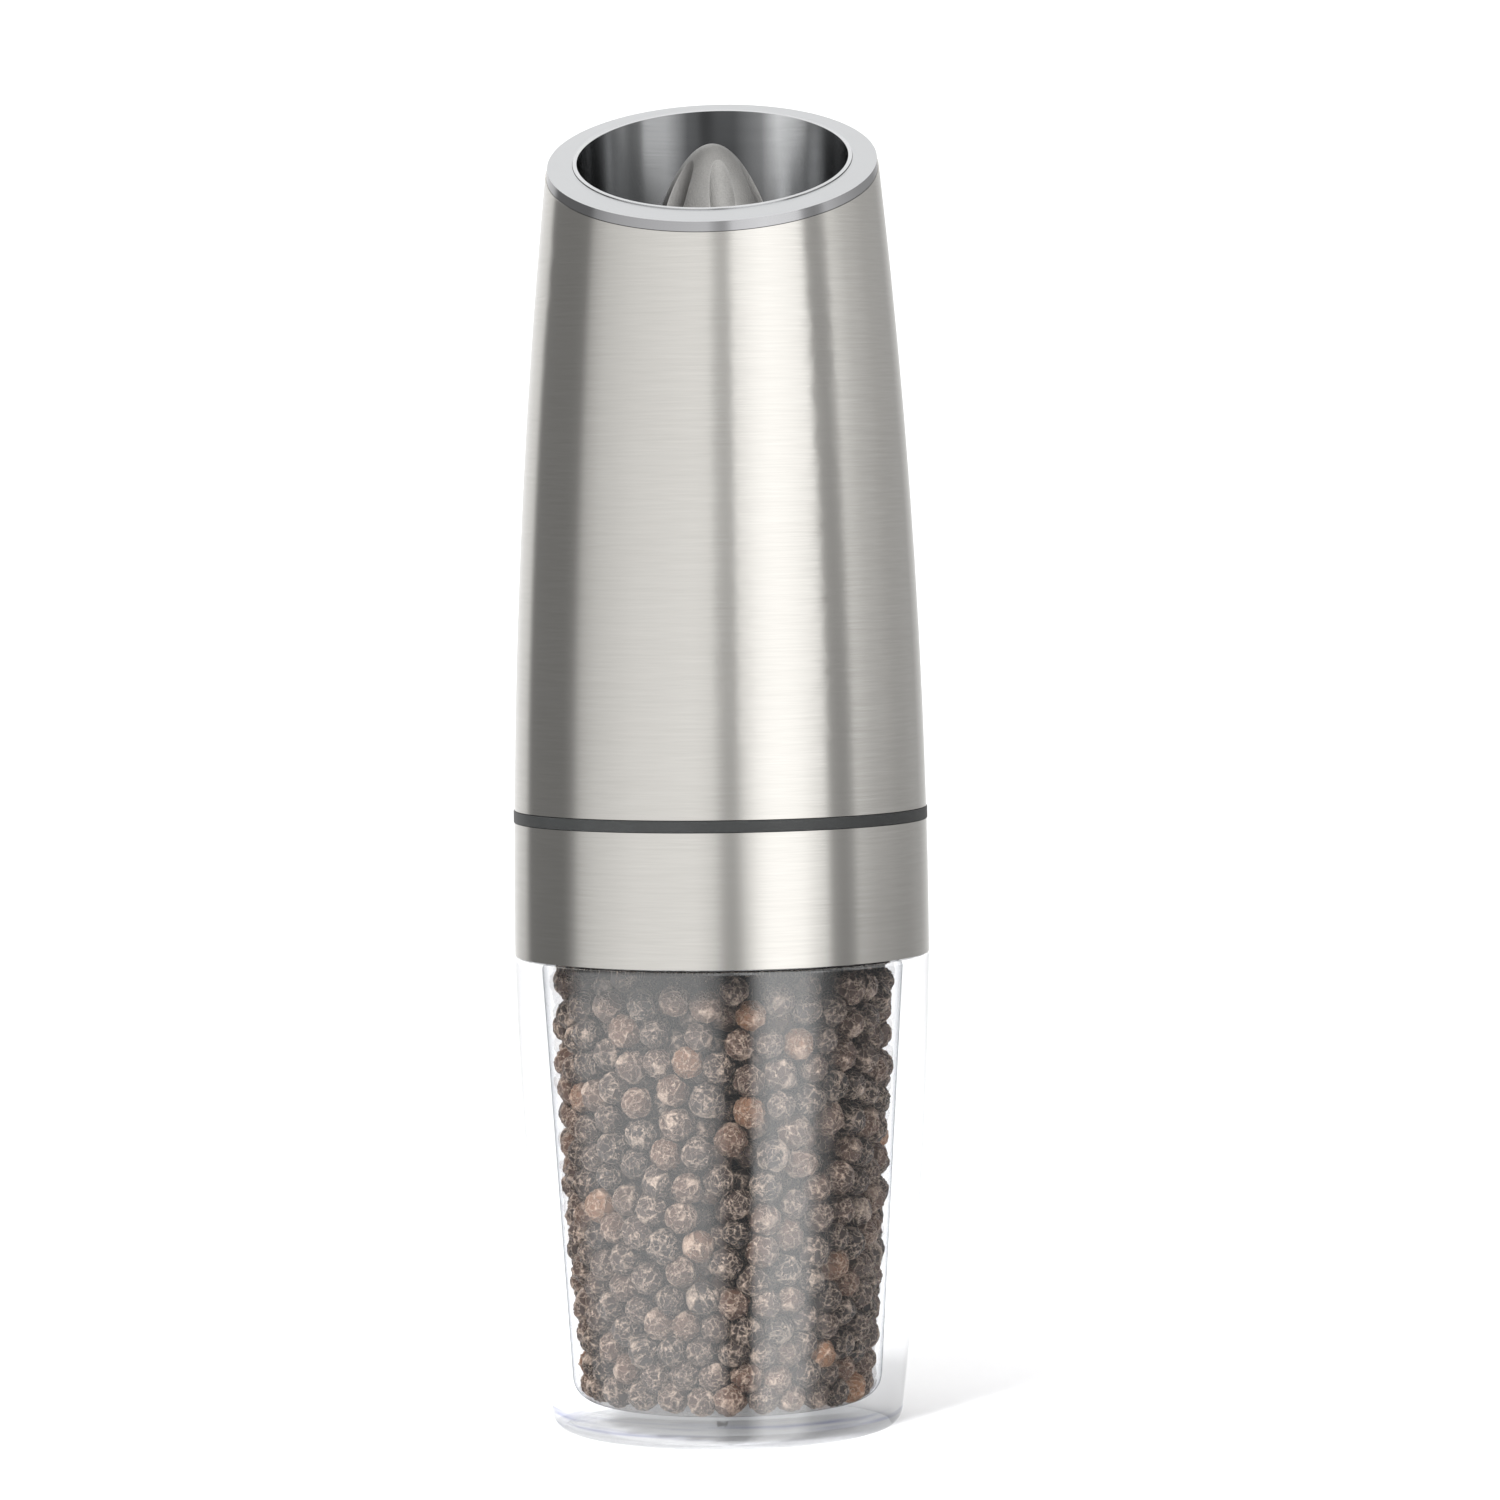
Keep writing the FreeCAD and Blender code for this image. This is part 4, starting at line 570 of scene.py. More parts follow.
@dataclass(frozen=True)
class Acrylic(Finish):
    """Clear moulded acrylic, which lets light through to what it holds."""

    bend: float = 1.02
    gloss: float = 2.6
    passed: Colour = (0.97, 0.97, 0.975)
    edge: Colour = (0.30, 0.32, 0.35)
    floor: float = 0.0045
    streak: Colour = (0.22, 0.25, 0.52)

    def streaks(self, bench: Bench) -> bpy.types.NodeSocket:
        """Level streaks of colour in the thick floor, where it splits the light.

        Args:
            bench: the material's bench.

        Returns:
            Their mask's socket.
        """
        at = bench.add("SeparateXYZ", {0: bench.place()})
        height = at.outputs["Z"]
        long_level = bench.stretched(0.025, 0.025, 0.0011)
        flow = bench.add("TexNoise", {"Vector": long_level, "Scale": 1.0, "Detail": 2.0})
        inside = bench.math("MULTIPLY", bench.span(height, 0.0006, 0.002),
                            bench.span(height, self.floor + 0.001, self.floor - 0.0005))
        return bench.math("MULTIPLY", inside, bench.span(flow.outputs[0], 0.5, 0.72))

    def surface(self, bench: Bench, shader: bpy.types.Node) -> bpy.types.NodeSocket:
        """Makes the shader clear and gives it a polished outside.

        Light leaves the wall without a second reflection, and dims where it only grazes the wall.

        Args:
            bench: the material's bench.
            shader: its Principled shader.

        Returns:
            The socket that goes to the material's output.
        """
        drift = shelf.use(bench, Effect.DRIFT, size=self.drift)
        body = bench.blend(drift, self.colour, self.other)
        bench.feed(shader.inputs["Base Color"], bench.blend(self.streaks(bench), body, self.streak))
        bench.feed(shader.inputs["Roughness"],
                   bench.span(drift, 0.0, 1.0, self.roughness, self.roughness + 0.01))
        for name, value in (("Transmission Weight", 1.0), ("IOR", self.bend), ("Coat Weight", self.coat),
                            ("Coat IOR", self.gloss), ("Coat Roughness", 0.02)):
            shader.inputs[name].default_value = value
        ray = bench.add("LightPath")
        inner = bench.add("NewGeometry").outputs["Backfacing"]
        passing = bench.math("MAXIMUM", bench.math("MAXIMUM", ray.outputs["Is Shadow Ray"],
                                                   ray.outputs["Is Diffuse Ray"]), inner)
        grazed = bench.span(bench.add("LayerWeight", {"Blend": 0.5}).outputs["Facing"], 0.72, 1.0)
        clear = bench.add("BsdfTransparent", {"Color": bench.blend(grazed, self.passed, self.edge)})
        made = bench.add("MixShader", {0: passing, 1: shader.outputs[0], 2: clear.outputs[0]})
        return made.outputs[0]


@dataclass(frozen=True)
class Berry(Finish):
    """Wrinkled dried peppercorns, each with its own tone, lighter along the ridges of its skin: partly the
    skin's own paler colour, partly a painted highlight.
    """

    # pale colour of the ridges: partly the skin's own, partly a painted highlight
    ridge_and_highlight: Colour = (0.60, 0.47, 0.37)
    brown: Colour = (0.075, 0.040, 0.027)
    husk: Colour = (0.28, 0.13, 0.055)
    shine: float = 0.25

    def surface(self, bench: Bench, shader: bpy.types.Node) -> bpy.types.NodeSocket:
        """Colours skin, the few tan husks, and the ridges, whose pale colour is partly their own and partly a
        painted highlight.

        Args:
            bench: the material's bench.
            shader: its Principled shader.

        Returns:
            The socket that goes to the material's output.
        """
        skin = bench.add("Attribute", attribute_name="skin_place").outputs["Vector"]
        tone = bench.add("Attribute", attribute_name="berry_tone").outputs["Fac"]
        warp = bench.add("TexNoise", {"Vector": skin, "Scale": 1.6, "Detail": 2.0})
        bent = bench.add("VectorMath", {0: skin, 1: warp.outputs["Color"]}, operation="ADD").outputs[0]
        cells = bench.add("TexVoronoi", {"Vector": bent, "Scale": 1.9}, feature="DISTANCE_TO_EDGE")
        fold = bench.add("Attribute", attribute_name="skin_fold").outputs["Fac"]
        crease = bench.span(cells.outputs["Distance"], 0.09, 0.0)
        ridge_and_highlight = bench.math("MAXIMUM", bench.span(fold, 0.4, 1.0, 0.0, 0.6),
                           bench.math("MULTIPLY", crease, 0.7))
        shader.inputs["Specular IOR Level"].default_value = self.shine
        speck = bench.add("TexNoise", {"Vector": skin, "Scale": 7.0, "Detail": 3.0, "Roughness": 0.7})
        fine = speck.outputs[0]
        base = bench.add("ValToRGB", {0: tone})
        stops = base.color_ramp.elements
        stops[0].color, stops[1].color = (*self.colour, 1.0), (*self.husk, 1.0)
        for place, colour in ((0.35, self.other), (0.72, self.brown)):
            stops.new(place).color = (*colour, 1.0)
        mottled = bench.blend(bench.span(fine, 0.5, 0.8, 0.0, 0.12), base.outputs[0], self.ridge_and_highlight)
        # painted highlight: crests and cell lines take the pale ridge colour, which is partly the skin's own
        # paler colour
        lit = bench.math("MULTIPLY", ridge_and_highlight, bench.span(fine, 0.35, 0.6, 0.1, 1.0))
        bench.feed(shader.inputs["Base Color"], bench.blend(lit, mottled, self.ridge_and_highlight))
        bench.feed(shader.inputs["Roughness"],
                   bench.span(ridge_and_highlight, 0.0, 1.0, self.roughness, self.roughness - 0.12))
        height = bench.math("MULTIPLY_ADD", fine, 0.35, ridge_and_highlight)
        self.bump(bench, shader, height)
        return shader.outputs[0]


@dataclass(frozen=True)
class Layered(Finish):
    """Thin layers stacked along one direction, such as wire turns or sheets."""

    pitch: float = 0.0003

    def surface(self, bench: Bench, shader: bpy.types.Node) -> bpy.types.NodeSocket:
        """Adds the lines between the layers.

        Args:
            bench: the material's bench.
            shader: its Principled shader.

        Returns:
            The socket that goes to the material's output.
        """
        upright = bench.add("SeparateXYZ", {0: bench.place()}).outputs["Z"]
        wave = bench.math("SINE", bench.math("MULTIPLY", upright, 2 * math.pi / self.pitch))
        layer = bench.span(wave, -1.0, 0.4)
        drift = shelf.use(bench, Effect.DRIFT, size=self.drift)
        tone = bench.math("MULTIPLY_ADD", layer, 0.7, bench.math("MULTIPLY", drift, 0.3))
        return self.settle(bench, shader, bench.blend(tone, self.other, self.colour),
                           self.roughened(bench, drift), layer)


@dataclass(frozen=True)
class Sleeve(Finish):
    """A dry cell: printed sleeve in two plain colours, with bare ends."""

    band: Colour = (0.55, 0.28, 0.08)
    bare: Colour = (0.62, 0.61, 0.58)
    low: float = 0.0
    high: float = 1.0
    end: float = 0.0009
    split: float = 0.27

    def surface(self, bench: Bench, shader: bpy.types.Node) -> bpy.types.NodeSocket:
        """Parts the sleeve by height.

        Args:
            bench: the material's bench.
            shader: its Principled shader.

        Returns:
            The socket that goes to the material's output.
        """
        upright = bench.add("SeparateXYZ", {0: bench.place()}).outputs["Z"]
        drift = shelf.use(bench, Effect.DRIFT, size=self.drift)
        grain = shelf.use(bench, Effect.GRAIN, size=self.grain)
        edge = self.high - self.split * (self.high - self.low)
        top = bench.span(upright, edge, edge + 0.0002)
        bare = bench.math("MAXIMUM", bench.span(upright, self.high - self.end, self.high - self.end + 0.0001),
                          bench.span(upright, self.low + 0.0004, self.low + 0.0003))
        dark = bench.blend(drift, self.colour, self.other)
        sleeve = bench.blend(top, dark, self.band)
        colour = bench.blend(bare, sleeve, self.bare)
        rough = bench.span(bench.math("MULTIPLY_ADD", grain, 0.5, drift), 0.0, 1.5,
                           self.roughness - self.spread, self.roughness + self.spread)
        metal = bench.math("MAXIMUM", bare, top)
        bench.feed(shader.inputs["Metallic"], bench.span(metal, 0.0, 1.0, 0.35, 1.0))
        return self.settle(bench, shader, colour, rough, grain)


STEEL = Brushed("steel brushed round the body", Slot.STEEL, (0.74, 0.72, 0.68), (0.82, 0.80, 0.76),
                roughness=0.23, spread=0.03, metallic=1.0, depth=0.0000008, drift=0.03, length=0.006,
                width=0.00009, stretch=0.88)
RIM = Rim("mouth ring steel", Slot.RIM, (0.70, 0.71, 0.72), (0.78, 0.79, 0.80), roughness=0.34, spread=0.04,
          metallic=1.0, grain=0.00012, depth=0.000002)
# the throat's colour carries painted reflection bands and a painted highlight on the lip
THROAT = Throat("polished throat steel", Slot.THROAT, (0.80, 0.81, 0.82), (0.90, 0.91, 0.92), roughness=0.22,
                 spread=0.02, metallic=1.0, depth=0.0000004, width=0.0003, stretch=0.9)
# the knob's light flute edges are partly rubbed metal and partly a painted highlight
ALLOY = Finish("blasted knob alloy", Slot.ALLOY, (0.30, 0.295, 0.285), (0.62, 0.61, 0.59), roughness=0.34,
               spread=0.08, metallic=1.0, grain=0.00022, depth=0.00005, wear_and_highlight=0.6, worn_and_highlight=(0.85, 0.84, 0.82))
RING = Finish("satin black ring", Slot.RING, (0.016, 0.017, 0.017), (0.024, 0.025, 0.025), roughness=0.42,
              spread=0.06, grain=0.0002, depth=0.000004)
ACRYLIC = Acrylic("clear acrylic", Slot.ACRYLIC, (0.985, 0.99, 1.0), (0.975, 0.985, 0.995), roughness=0.0,
                  coat=1.0)
BERRY = Berry("dried peppercorn skin", Slot.BERRY, (0.009, 0.007, 0.007), (0.034, 0.021, 0.017),
              roughness=0.5, depth=0.0003)
BLACK = Finish("moulded black plastic", Slot.BLACK, (0.020, 0.021, 0.022), (0.034, 0.035, 0.036),
               roughness=0.48, spread=0.08, grain=0.0003, depth=0.00001, wear_and_highlight=0.35, worn_and_highlight=(0.09, 0.09, 0.09),
               dust=0.25)
SILICONE = Finish("soft silicone", Slot.SILICONE, (0.62, 0.63, 0.64), (0.72, 0.73, 0.74), roughness=0.55,
                  grain=0.0003, depth=0.000006, sheen=0.2)
CERAMIC = Finish("burr ceramic", Slot.CERAMIC, (0.74, 0.71, 0.65), (0.86, 0.84, 0.79), roughness=0.4,
                 grain=0.00015, depth=0.000006, drift=0.006, dust=0.55, coat=0.1)
SPRING = Finish("drawn spring wire", Slot.SPRING, (0.46, 0.46, 0.47), (0.60, 0.60, 0.61), roughness=0.24,
                spread=0.05, metallic=1.0, grain=0.0002, depth=0.000003)
TURNED = Brushed("turned steel", Slot.TURNED, (0.50, 0.50, 0.51), (0.64, 0.64, 0.65), roughness=0.22,
                 spread=0.06, metallic=1.0, depth=0.000002, length=0.004, width=0.00008, stretch=0.5)
STRIP = Finish("nickel strip", Slot.STRIP, (0.60, 0.58, 0.53), (0.72, 0.70, 0.65), roughness=0.2, spread=0.07,
               metallic=1.0, grain=0.00035, depth=0.000004, wear_and_highlight=0.3, worn_and_highlight=(0.8, 0.78, 0.74))
BOARD = Finish("green solder mask", Slot.BOARD, (0.012, 0.10, 0.045), (0.018, 0.14, 0.06), roughness=0.32,
               grain=0.0006, depth=0.000012, drift=0.003, coat=0.4)
CHIP = Finish("moulded component black", Slot.CHIP, (0.022, 0.022, 0.024), (0.036, 0.036, 0.038),
              roughness=0.5, grain=0.00015, depth=0.000004)
LEAD = Finish("red wire cover", Slot.LEAD, (0.30, 0.020, 0.018), (0.38, 0.035, 0.03), roughness=0.38,
              grain=0.0003, depth=0.000003, sheen=0.1)
ZINC = Finish("zinc-plated steel", Slot.ZINC, (0.52, 0.53, 0.54), (0.66, 0.67, 0.68), roughness=0.32,
              spread=0.08, metallic=1.0, grain=0.0005, depth=0.000004, drift=0.004)
FERRITE = Finish("sintered ferrite", Slot.FERRITE, (0.035, 0.036, 0.038), (0.065, 0.065, 0.068),
                 roughness=0.6, grain=0.00018, depth=0.00001)
BRONZE = Finish("sintered bronze", Slot.BRONZE, (0.36, 0.22, 0.10), (0.50, 0.33, 0.17), roughness=0.42,
                metallic=1.0, grain=0.00014, depth=0.000008)
COPPER = Layered("enamelled copper wire", Slot.COPPER, (0.72, 0.33, 0.17), (0.30, 0.11, 0.05), roughness=0.3,
                 metallic=0.9, depth=0.00006, pitch=0.0003, coat=0.5)
LAMINATED = Layered("stacked steel sheets", Slot.LAMINATED, (0.30, 0.30, 0.31), (0.10, 0.10, 0.10),
                    roughness=0.42, metallic=0.9, depth=0.00004, pitch=0.0005)
BRASS = Brushed("turned brass", Slot.BRASS, (0.62, 0.44, 0.19), (0.76, 0.58, 0.29), roughness=0.24,
                spread=0.06, metallic=1.0, depth=0.000002, length=0.004, width=0.00009, stretch=0.4)
GEAR_WHITE = Finish("white acetal", Slot.GEAR_WHITE, (0.70, 0.69, 0.65), (0.80, 0.79, 0.75), roughness=0.36,
                    grain=0.0003, depth=0.000005, wear_and_highlight=0.2, worn_and_highlight=(0.55, 0.54, 0.5))
GEAR_BLACK = Finish("black acetal", Slot.GEAR_BLACK, (0.026, 0.026, 0.028), (0.042, 0.042, 0.045),
                    roughness=0.42, grain=0.00025, depth=0.000006, wear_and_highlight=0.3, worn_and_highlight=(0.1, 0.1, 0.1))


# ---------------------------------------------------------------- sub-assemblies


@dataclass
class SubAssembly:
    """Solids that belong together, and the finish each of them has."""

    title: str
    wears: dict[str, Finish] = field(default_factory=dict)

    def dress(self) -> None:
        """Puts each solid's finish in the material slots of its object."""
        for name, finish in self.wears.items():
            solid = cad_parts[name]
            if not solid.material_slots:
                solid.data.materials.append(None)
            for holder in solid.material_slots:
                holder.material = finish.material()
            log.info("%s: %s wears %s", self.title, name, finish.name)

    def build(self) -> None:
        """Dresses the solids. A sub-assembly with pieces of its own makes them here too."""
        self.dress()


@dataclass
class PepperCharge:
    """The peppercorns in the jar: an outer layer against the wall, a layer behind it, and a heart in the
    darkest berry tone that paints the shade deep in the charge.
    """

    berry: float = 0.00245
    spread: float = 0.10
    gap: float = 0.0009
    outer: int = 425
    inner: int = 330
    rounds: int = 200
    sink: float = 0.012
    press: float = 0.985
    push: float = 0.4
    outer_depth: tuple[float, float] = (0.0, 0.25)
    inner_depth: tuple[float, float] = (1.45, 1.9)
    floor_gap: float = 0.94
    taper: float = 0.0037
    flare: float = 1.8
    seed: int = 7
    shapes: int = 14
    pits: int = 26
    skin: float = 0.915
    fold: float = 0.1
    lean: float = 0.035
    squat: float = 0.025
    heart: float = 0.0135
    heart_slope: float = 0.02
    heart_foot: float = 0.0015
    heart_head: float = 0.003
    lumps: float = 0.0009
    around: int = 96
    levels: int = 60

    def __post_init__(self) -> None:
        """Reads the room that the charge's solid has."""
        low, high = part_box("peppercorns")
        self.low, self.high = low.z, high.z
        self.top_radius = high.x - self.gap
        self.foot_radius = self.top_radius - self.taper
        self.random = np.random.default_rng(self.seed)

    def room(self, heights: np.ndarray) -> np.ndarray:
        """Radius of the charge at each height. It widens upwards, more slowly near the top."""
        share = np.clip((heights - self.low) / (self.high - self.low), 0.0, 1.0)
        return self.foot_radius + (self.top_radius - self.foot_radius) * (1 - (1 - share) ** self.flare)

    def settle(self) -> tuple[np.ndarray, np.ndarray]:
        """Pushes the berries apart until they lie side by side.

        Returns:
            The berries' centres and their radii.
        """
        count = self.outer + self.inner
        radii = self.berry * (1 + self.spread * self.random.uniform(-1, 1, count))
        turn = self.random.uniform(0, 2 * math.pi, count)
        height = self.random.uniform(self.low + self.berry, self.high - self.berry, count)
        sunk = np.where(np.arange(count) < self.outer, self.random.uniform(*self.outer_depth, count),
                        self.random.uniform(*self.inner_depth, count)) * self.berry
        away = self.room(height) - radii - sunk
        centres = np.stack([away * np.cos(turn), away * np.sin(turn), height], axis=1)
        reach = radii[:, None] + radii[None, :]
        for _ in range(self.rounds):
            between = centres[:, None, :] - centres[None, :, :]
            apart = np.sqrt((between ** 2).sum(axis=2)) + np.eye(count)
            overlap = np.clip(reach * self.press - apart, 0.0, None)
            np.fill_diagonal(overlap, 0.0)
            centres = centres + (between * (overlap * self.push / apart)[:, :, None]).sum(axis=1)
            sunk_height = centres[:, 2] - self.sink * radii
            centres[:, 2] = np.clip(sunk_height, self.low + radii * self.floor_gap, self.high - radii)
            from_axis = np.hypot(centres[:, 0], centres[:, 1])
            wanted = self.room(centres[:, 2]) - radii - sunk
            centres[:, :2] *= (wanted / from_axis)[:, None]
        return centres, radii

    def ball(self, cuts: int) -> tuple[np.ndarray, np.ndarray]:
        """A round ball of square patches.

        Args:
            cuts: patches along each side of the cube it is blown up from.

        Returns:
            Points on the unit ball, and the corners of its faces.
        """
        steps = np.tan(np.linspace(-1, 1, cuts + 1) * math.pi / 4)
        points: dict[tuple[float, ...], int] = {}
        faces = []
        for axis in range(3):
            for side in (-1.0, 1.0):
                grid = []
                for first in steps:
                    row = []
                    for second in steps:
                        at = [0.0, 0.0, 0.0]
                        at[axis], at[(axis + 1) % 3], at[(axis + 2) % 3] = side, first, second
                        row.append(points.setdefault(tuple(round(value, 6) for value in at), len(points)))
                    grid.append(row)
                for i in range(cuts):
                    for j in range(cuts):
                        face = [grid[i][j], grid[i + 1][j], grid[i + 1][j + 1], grid[i][j + 1]]
                        faces.append(face if side > 0 else face[::-1])
        placed = np.array(list(points))
        return placed / np.linalg.norm(placed, axis=1)[:, None], np.array(faces)

    def wrinkled(self, ball: np.ndarray) -> tuple[np.ndarray, np.ndarray]:
        """Shapes a berry's skin, with dents between raised folds.

        Args:
            ball: directions from the middle of the berry.

        Returns:
            Length from the middle to the skin in each direction, and how near the fold's crest it is.
        """
        pits = self.random.normal(size=(self.pits, 3))
        pits /= np.linalg.norm(pits, axis=1)[:, None]
        from_pits = np.sort(np.linalg.norm(ball[:, None, :] - pits[None, :, :], axis=2), axis=1)
        fold = np.exp(-((from_pits[:, 1] - from_pits[:, 0]) / self.fold) ** 2)
        lean = self.random.normal(size=3) * self.lean
        return self.skin + self.fold * fold + ball @ lean, fold

    def piece(self, name: str, centres: np.ndarray, radii: np.ndarray, cuts: int) -> bpy.types.Object:
        """Joins berries into one mesh.

        Args:
            name: the piece's name.
            centres: middle of each berry.
            radii: its size.
            cuts: fineness of each berry.

        Returns:
            The piece, riding on the jar.
        """
        ball, faces = self.ball(cuts)
        shapes = [self.wrinkled(ball) for _ in range(self.shapes)]
        points, skins, folds, tones = [], [], [], []
        for number, (centre, radius) in enumerate(zip(centres, radii)):
            spin, _ = np.linalg.qr(self.random.normal(size=(3, 3)))
            if np.linalg.det(spin) < 0:
                spin[:, 0] = -spin[:, 0]
            squat = 1 + self.random.normal(size=3) * self.squat
            length, fold = shapes[number % len(shapes)]
            local = ball * length[:, None]
            points.append((local * squat) @ spin.T * radius + centre)
            skins.append(local + self.random.uniform(-40, 40, 3))
            folds.append(fold)
            tones.append(np.full(len(ball), self.random.beta(1.2, 2.3)))
        mesh = bpy.data.meshes.new(name)
        joined = np.concatenate([faces + len(ball) * number for number in range(len(centres))])
        mesh.from_pydata(np.concatenate(points).tolist(), [], joined.tolist())
        self.mark(mesh, "skin_place", np.concatenate(skins))
        self.mark(mesh, "skin_fold", np.concatenate(folds))
        self.mark(mesh, "berry_tone", np.concatenate(tones))
        mesh.shade_smooth()
        return self.put(name, mesh)

    @staticmethod
    def mark(mesh: bpy.types.Mesh, name: str, values: np.ndarray) -> None:
        """Stores a measure of each point with the mesh, for its material to read.

        Args:
            mesh: the mesh.
            name: what the material calls the measure.
            values: one number or one place for each point.
        """
        kind, word = ("FLOAT_VECTOR", "vector") if values.ndim > 1 else ("FLOAT", "value")
        layer = mesh.attributes.new(name, kind, "POINT")
        layer.data.foreach_set(word, values.astype(np.float32).ravel())

    def put(self, name: str, mesh: bpy.types.Mesh) -> bpy.types.Object:
        """Makes a mesh a piece of the charge.

        Args:
            name: the piece's name.
            mesh: its mesh.

        Returns:
            The piece, riding on the jar.
        """
        made = bpy.data.objects.new(name, mesh)
        bpy.context.scene.collection.objects.link(made)
        mesh.materials.append(BERRY.material())
        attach(made, "jar")
        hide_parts("peppercorns")
        log.info("piece %s: %d faces", name, len(mesh.polygons))
        return made

    def middle(self) -> bpy.types.Object:
        """Makes the heart of the charge, a lumpy column that closes the view between the berries. Its tone is
        held at the darkest berry colour, as painted shade.

        Returns:
            The piece, riding on the jar.
        """
        around, levels = self.around, self.levels
        tall = self.high - self.low - self.heart_foot - self.heart_head
        points, skins = [], []
        for level in range(levels):
            height = self.low + self.heart_foot + tall * level / (levels - 1)
            for step in range(around):
                turn = 2 * math.pi * step / around
                lump = math.sin(8 * turn + level * 1.3) * math.sin(level * 0.95 + 2 * math.sin(3 * turn))
                radius = self.heart + self.lumps * lump + self.heart_slope * (height - self.low)
                points.append((radius * math.cos(turn), radius * math.sin(turn), height))
                skins.append((points[-1][0] / self.berry, points[-1][1] / self.berry, height / self.berry))
        faces = [[level * around + step, level * around + (step + 1) % around,
                  (level + 1) * around + (step + 1) % around, (level + 1) * around + step]
                 for level in range(levels - 1) for step in range(around)]
        faces.append(list(range(around))[::-1])
        faces.append([(levels - 1) * around + step for step in range(around)])
        mesh = bpy.data.meshes.new("peppercorn_heart")
        mesh.from_pydata(points, [], faces)
        self.mark(mesh, "skin_place", np.array(skins))
        # painted shade: the whole heart takes tone zero, the darkest berry colour
        self.mark(mesh, "berry_tone", np.zeros(len(points)))
        mesh.shade_smooth()
        return self.put("peppercorn_heart", mesh)

    def build(self) -> None:
        """Fills the jar."""
        centres, radii = self.settle()
        quarter = np.floor((np.arctan2(centres[:, 1], centres[:, 0]) / math.pi + 1) * 2).clip(0, 3)
        outside = np.arange(len(radii)) < self.outer
        for part, side in enumerate(("left_back", "left_front", "right_front", "right_back")):
            chosen = outside & (quarter == (1, 0, 3, 2)[part])
            self.piece(f"peppercorns_outer_{side}", centres[chosen], radii[chosen], 12)
        self.piece("peppercorns_inner", centres[~outside], radii[~outside], 5)
        self.middle()


@dataclass
class Jar(SubAssembly):
    """The clear jar that the mill stands on, its gasket and its peppercorns."""

    title: str = "jar"
    charge: PepperCharge = field(default_factory=PepperCharge)
    wears: dict[str, Finish] = field(default_factory=lambda: {"pepper_jar": ACRYLIC, "jar_gasket": SILICONE})

    def build(self) -> None:
        """Dresses the jar and fills it."""
        self.dress()
        self.charge.build()


@dataclass
class Chassis(SubAssembly):
    """The moulded frame inside the body, the band round it and the cells with their contacts."""

    title: str = "chassis"
    cells: int = 6
    wears: dict[str, Finish] = field(default_factory=lambda: {
        "chassis": BLACK, "battery_frame": BLACK, "steel_band": STEEL, "end_plate": BLACK,
        "contact_springs": SPRING, "lower_contacts": STRIP, "upper_contacts": STRIP,
        "switch_board": BOARD, "board_components": CHIP, "tilt_switch_can": STRIP,
        "tilt_switch_pins": STRIP, "tilt_ball": TURNED, "battery_leads": LEAD,
    })

    def build(self) -> None:
        """Dresses the chassis, and gives each cell a sleeve cut to its own height."""
        for number in range(1, self.cells + 1):
            low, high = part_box(f"battery_{number}")
            self.wears[f"battery_{number}"] = Sleeve(
                f"cell sleeve {number}", Slot.CELL, (0.020, 0.021, 0.024), (0.034, 0.035, 0.038),
                roughness=0.3, spread=0.05, metallic=0.4, grain=0.0004, depth=0.000003, coat=0.3,
                low=low.z, high=high.z)
        self.dress()


@dataclass
class Drive(SubAssembly):
    """The motor, its two planetary stages and the shaft."""

    title: str = "drive"
    planets: int = 3
    wears: dict[str, Finish] = field(default_factory=lambda: {
        "motor_can": ZINC, "motor_end_cap": GEAR_BLACK, "motor_magnets": FERRITE, "motor_bushes": BRONZE,
        "brush_arms": STRIP, "motor_shaft": TURNED, "armature_core": LAMINATED, "armature_windings": COPPER,
        "commutator": COPPER, "motor_pinion": BRASS, "gearbox_housing": GEAR_BLACK,
        "gearbox_cover": GEAR_BLACK, "gearbox_screws": ZINC, "stage_one_pins": TURNED,
        "stage_one_carrier": GEAR_WHITE, "stage_two_pins": TURNED, "output_carrier": GEAR_WHITE,
        "drive_shaft": TURNED, "drive_bushes": BRONZE,
    })

    def build(self) -> None:
        """Dresses the drive and its planets."""
        for stage in ("one", "two"):
            for number in range(1, self.planets + 1):
                self.wears[f"stage_{stage}_planet_{number}"] = GEAR_WHITE
        self.dress()


@dataclass
class GrindingHead(SubAssembly):
    """The ceramic burrs, their holder and the knob that sets the gap."""

    title: str = "grinding head"
    wears: dict[str, Finish] = field(default_factory=lambda: {
        "burr_spring": SPRING, "burr_holder": BLACK, "head_screws": ZINC, "outer_burr": CERAMIC,
        "inner_burr": CERAMIC, "burr_retainer": BLACK, "grind_knob": ALLOY, "knob_insert": BRASS,
    })


@dataclass
class Housing(SubAssembly):
    """The brushed steel body with its slanted mouth, and the black ring below it."""

    title: str = "housing"
    wears: dict[str, Finish] = field(default_factory=lambda: {
        "parting_ring": RING, "steel_shell": STEEL, "housing_liner": BLACK, "mouth_rim": RIM,
        "throat_liner": THROAT,
    })


# ---------------------------------------------------------------- studio


